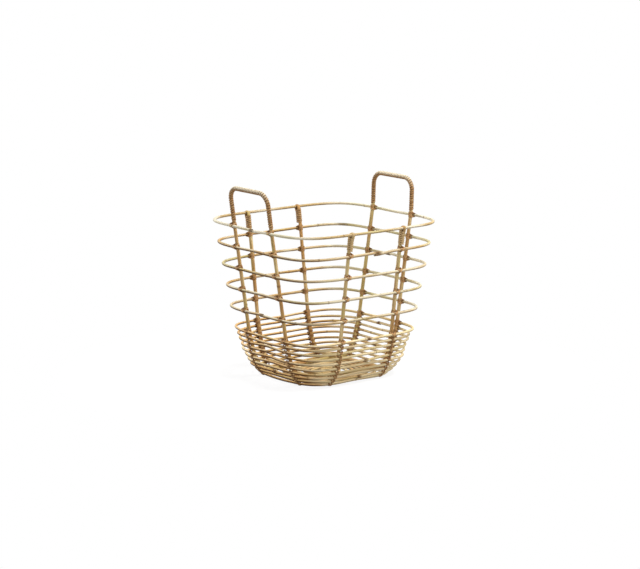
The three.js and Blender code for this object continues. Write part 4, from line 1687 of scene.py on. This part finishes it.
@dataclass(frozen=True)
class Studio:
    """Pale floor, soft light and the camera at the photograph's angle."""

    azimuth: float = math.radians(-38.46)
    elevation: float = math.radians(10.97)
    distance: float = 5.244
    lens: float = 135.0
    aim_right: float = -0.0081
    aim_height: float = 0.1955
    floor_size: float = 30.0
    floor_bounce: float = 0.4
    floor_white: float = 0.8
    sensor_width: float = 36.0
    clip: Pair = (0.1, 100.0)
    shadow_share: float = 0.14
    shadow_reach: Pair = (0.3, 0.6)
    dome: float = 0.32
    lamps: tuple[Lamp, ...] = (
        Lamp("key_light", 1.2, 0.25, 2.2, 1.2, 1.0),
        Lamp("front_light", 1.6, 2.2, 0.35, 1.6, 0.25),
        Lamp("fill_light", -1.8, 1.6, 0.8, 1.4, 0.1),
        Lamp("right_light", 2.2, -0.8, 0.6, 1.0, 0.1),
        Lamp("left_light", -2.2, -1.6, 0.9, 1.0, 0.6),
    )

    def build(self, ground: float) -> None:
        """Sets up the studio on the ground's height."""
        self._floor(ground)
        self._world()
        right = Vector((math.cos(self.azimuth), math.sin(self.azimuth), 0.0))
        toward = Vector((math.sin(self.azimuth), -math.cos(self.azimuth), 0.0))
        for lamp in self.lamps:
            lamp.hang(Vector((0.0, 0.0, self.aim_height)), right, toward)
        self._camera(right)

    def _floor(self, ground: float) -> None:
        """Adds the floor, white to the camera but for the object's shadow close around it."""
        clear_selection()
        bpy.ops.mesh.primitive_plane_add(size=self.floor_size, location=(0.0, 0.0, ground))
        floor = bpy.context.object
        floor.name = "studio_floor"
        nodes = FinishNodes.of_material("studio_floor_white")
        seen = nodes.seen()
        place = nodes.out(nodes.add("ShaderNodeTexCoord", {}, {}), "Object")
        length = nodes.add("ShaderNodeVectorMath", {"operation": "LENGTH"}, {0: place})
        near = 1.0 - nodes.between(nodes.out(length, "Value"), *self.shadow_reach)
        grey = nodes.grey(seen * self.floor_white + self.floor_bounce)
        lit = nodes.add("ShaderNodeBsdfDiffuse", {}, {"Color": grey})
        white = nodes.add("ShaderNodeEmission", {}, {"Color": (1.0, 1.0, 1.0, 1.0), "Strength": 1.0})
        share = seen * (1.0 - near * self.shadow_share)
        surface = nodes.add("ShaderNodeMixShader", {}, {0: share, 1: nodes.out(lit), 2: nodes.out(white)})
        floor.data.materials.append(nodes.finish(nodes.out(surface)))
        floor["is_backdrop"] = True

    def _world(self) -> None:
        """Lights the room evenly, and shows white to the camera."""
        nodes = FinishNodes(bpy.data.worlds.new("studio_dome"))
        level = self.dome + nodes.seen() * (1.0 - self.dome)
        dome = nodes.add("ShaderNodeBackground", {}, {"Color": (1.0, 1.0, 1.0, 1.0), "Strength": level})
        bpy.context.scene.world = nodes.finish(nodes.out(dome))

    def _camera(self, right: Vector) -> None:
        """Adds the camera."""
        data = bpy.data.cameras.new("photo_camera")
        data.sensor_fit = "HORIZONTAL"
        data.sensor_width = self.sensor_width
        data.lens = self.lens
        data.clip_start, data.clip_end = self.clip
        camera = bpy.data.objects.new("photo_camera", data)
        level = math.cos(self.elevation)
        back = Vector(
            (math.sin(self.azimuth) * level, -math.cos(self.azimuth) * level, math.sin(self.elevation))
        )
        aim = right * self.aim_right + Vector((0.0, 0.0, self.aim_height))
        camera.location = aim + back * self.distance
        camera.rotation_mode = "QUATERNION"
        camera.rotation_quaternion = (-back).to_track_quat("-Z", "Y")
        bpy.context.scene.collection.objects.link(camera)
        bpy.context.scene.camera = camera


@dataclass
class Basket:
    """The whole basket: its finishes, and its pieces in the order they are made."""

    shape: BasketShape
    hoop_finish: RattanFinish = RattanFinish(
        "rattan_hoop_bark",
        straw=written(232, 222, 192),
        tan=written(206, 168, 110),
        olive=written(196, 184, 122),
        brown=written(106, 74, 36),
    )
    rim_finish: RattanFinish = RattanFinish(
        "rattan_rim_bark",
        straw=written(240, 231, 205),
        tan=written(202, 174, 124),
        olive=written(202, 194, 140),
        brown=written(110, 78, 38),
    )
    bowl_finish: RattanFinish = RattanFinish(
        "rattan_bowl_bark",
        straw=written(254, 235, 190),
        tan=written(230, 187, 124),
        olive=written(222, 199, 130),
        brown=written(102, 64, 28),
        olive_share=0.5,
        # deeper painted underside shade on the bowl
        under_shade_share=0.95,
    )
    rib_finish: RattanFinish = RattanFinish(
        "rattan_rib_bark",
        straw=written(226, 203, 151),
        tan=written(187, 144, 89),
        olive=written(196, 178, 109),
        brown=written(120, 74, 36),
    )
    wrap_finish: CaneFinish = CaneFinish(
        "handle_cane_skin",
        skin=written(192, 154, 106),
        warm=written(162, 116, 70),
        # cut-edge colour, also painted shade in the gaps between turns
        edge_gap_shade=written(84, 50, 24),
        # pale colour of wear and of painted light on the grip's top
        pale_wear_and_light=written(246, 234, 204),
    )
    lash_finish: CaneFinish = CaneFinish(
        "lashing_cane_skin",
        skin=written(202, 160, 110),
        warm=written(166, 120, 76),
        # cut-edge colour, also painted shade in the gaps between strands
        edge_gap_shade=written(90, 58, 28),
        # pale colour of wear and of painted light on the front tails
        pale_wear_and_light=written(230, 206, 154),
        edge_gap_shade_share=0.7,
    )

    def build(self) -> list[bpy.types.Object]:
        """Builds and dresses every piece, and reports each."""
        rattan = RattanStock(random.Random(31))
        cane = CaneStock(random.Random(47))
        uprights = Uprights(self.shape, rattan)
        lashings = Lashings(self.shape, cane, uprights)
        stems = (("rim", self.rim_finish), ("wall", self.hoop_finish), ("bowl", self.bowl_finish))
        barks = {stem: finish.make() for stem, finish in stems}
        rib_bark = self.rib_finish.make()
        wrap_skin, lash_skin = self.wrap_finish.make(), self.lash_finish.make()
        pieces: list[bpy.types.Object] = []
        for node, piece in Hoops(self.shape, rattan).build().items():
            pieces.append(self._dress(piece, barks[node.split("_")[0]], Slot.HOOP, node))
        floor = Floor(self.shape, rattan).build()
        pieces.append(self._dress(floor, barks["bowl"], Slot.HOOP, "floor_coil"))
        for node, piece in uprights.build().items():
            pieces.append(self._dress(piece, rib_bark, Slot.RIB, node))
        for node, piece in HandleWindings(self.shape, cane).build().items():
            pieces.append(self._dress(piece, wrap_skin, Slot.CANE, node))
        for node, piece in lashings.build().items():
            pieces.append(self._dress(piece, lash_skin, Slot.CANE, node))
        for piece in (*lashings.build_bowl(), *lashings.build_tails()):
            pieces.append(self._dress(piece, lash_skin, Slot.CANE, None))
        cane.clear()
        return pieces

    @staticmethod
    def _dress(
        piece: bpy.types.Object, material: bpy.types.Material, slot: Slot, node: str | None
    ) -> bpy.types.Object:
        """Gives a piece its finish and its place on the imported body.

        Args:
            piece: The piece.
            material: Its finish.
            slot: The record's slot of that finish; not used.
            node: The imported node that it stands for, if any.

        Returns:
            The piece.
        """
        piece.data.materials.clear()
        piece.data.materials.append(material)
        piece.data.polygons.foreach_set("use_smooth", np.ones(len(piece.data.polygons), bool))
        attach(piece, BODY)
        if node is not None:
            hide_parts(node)
        LOG.info("%s: %d faces", piece.name, len(piece.data.polygons))
        return piece


def main() -> None:
    """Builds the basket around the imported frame, then the studio."""
    logging.basicConfig(level=logging.INFO, format="%(message)s")
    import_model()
    bpy.context.scene.view_settings.view_transform = "Standard"
    pieces = Basket(BasketShape.of_frame()).build()
    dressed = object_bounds()
    Studio().build(dressed[0].z)


if __name__ == "__main__":
    main()
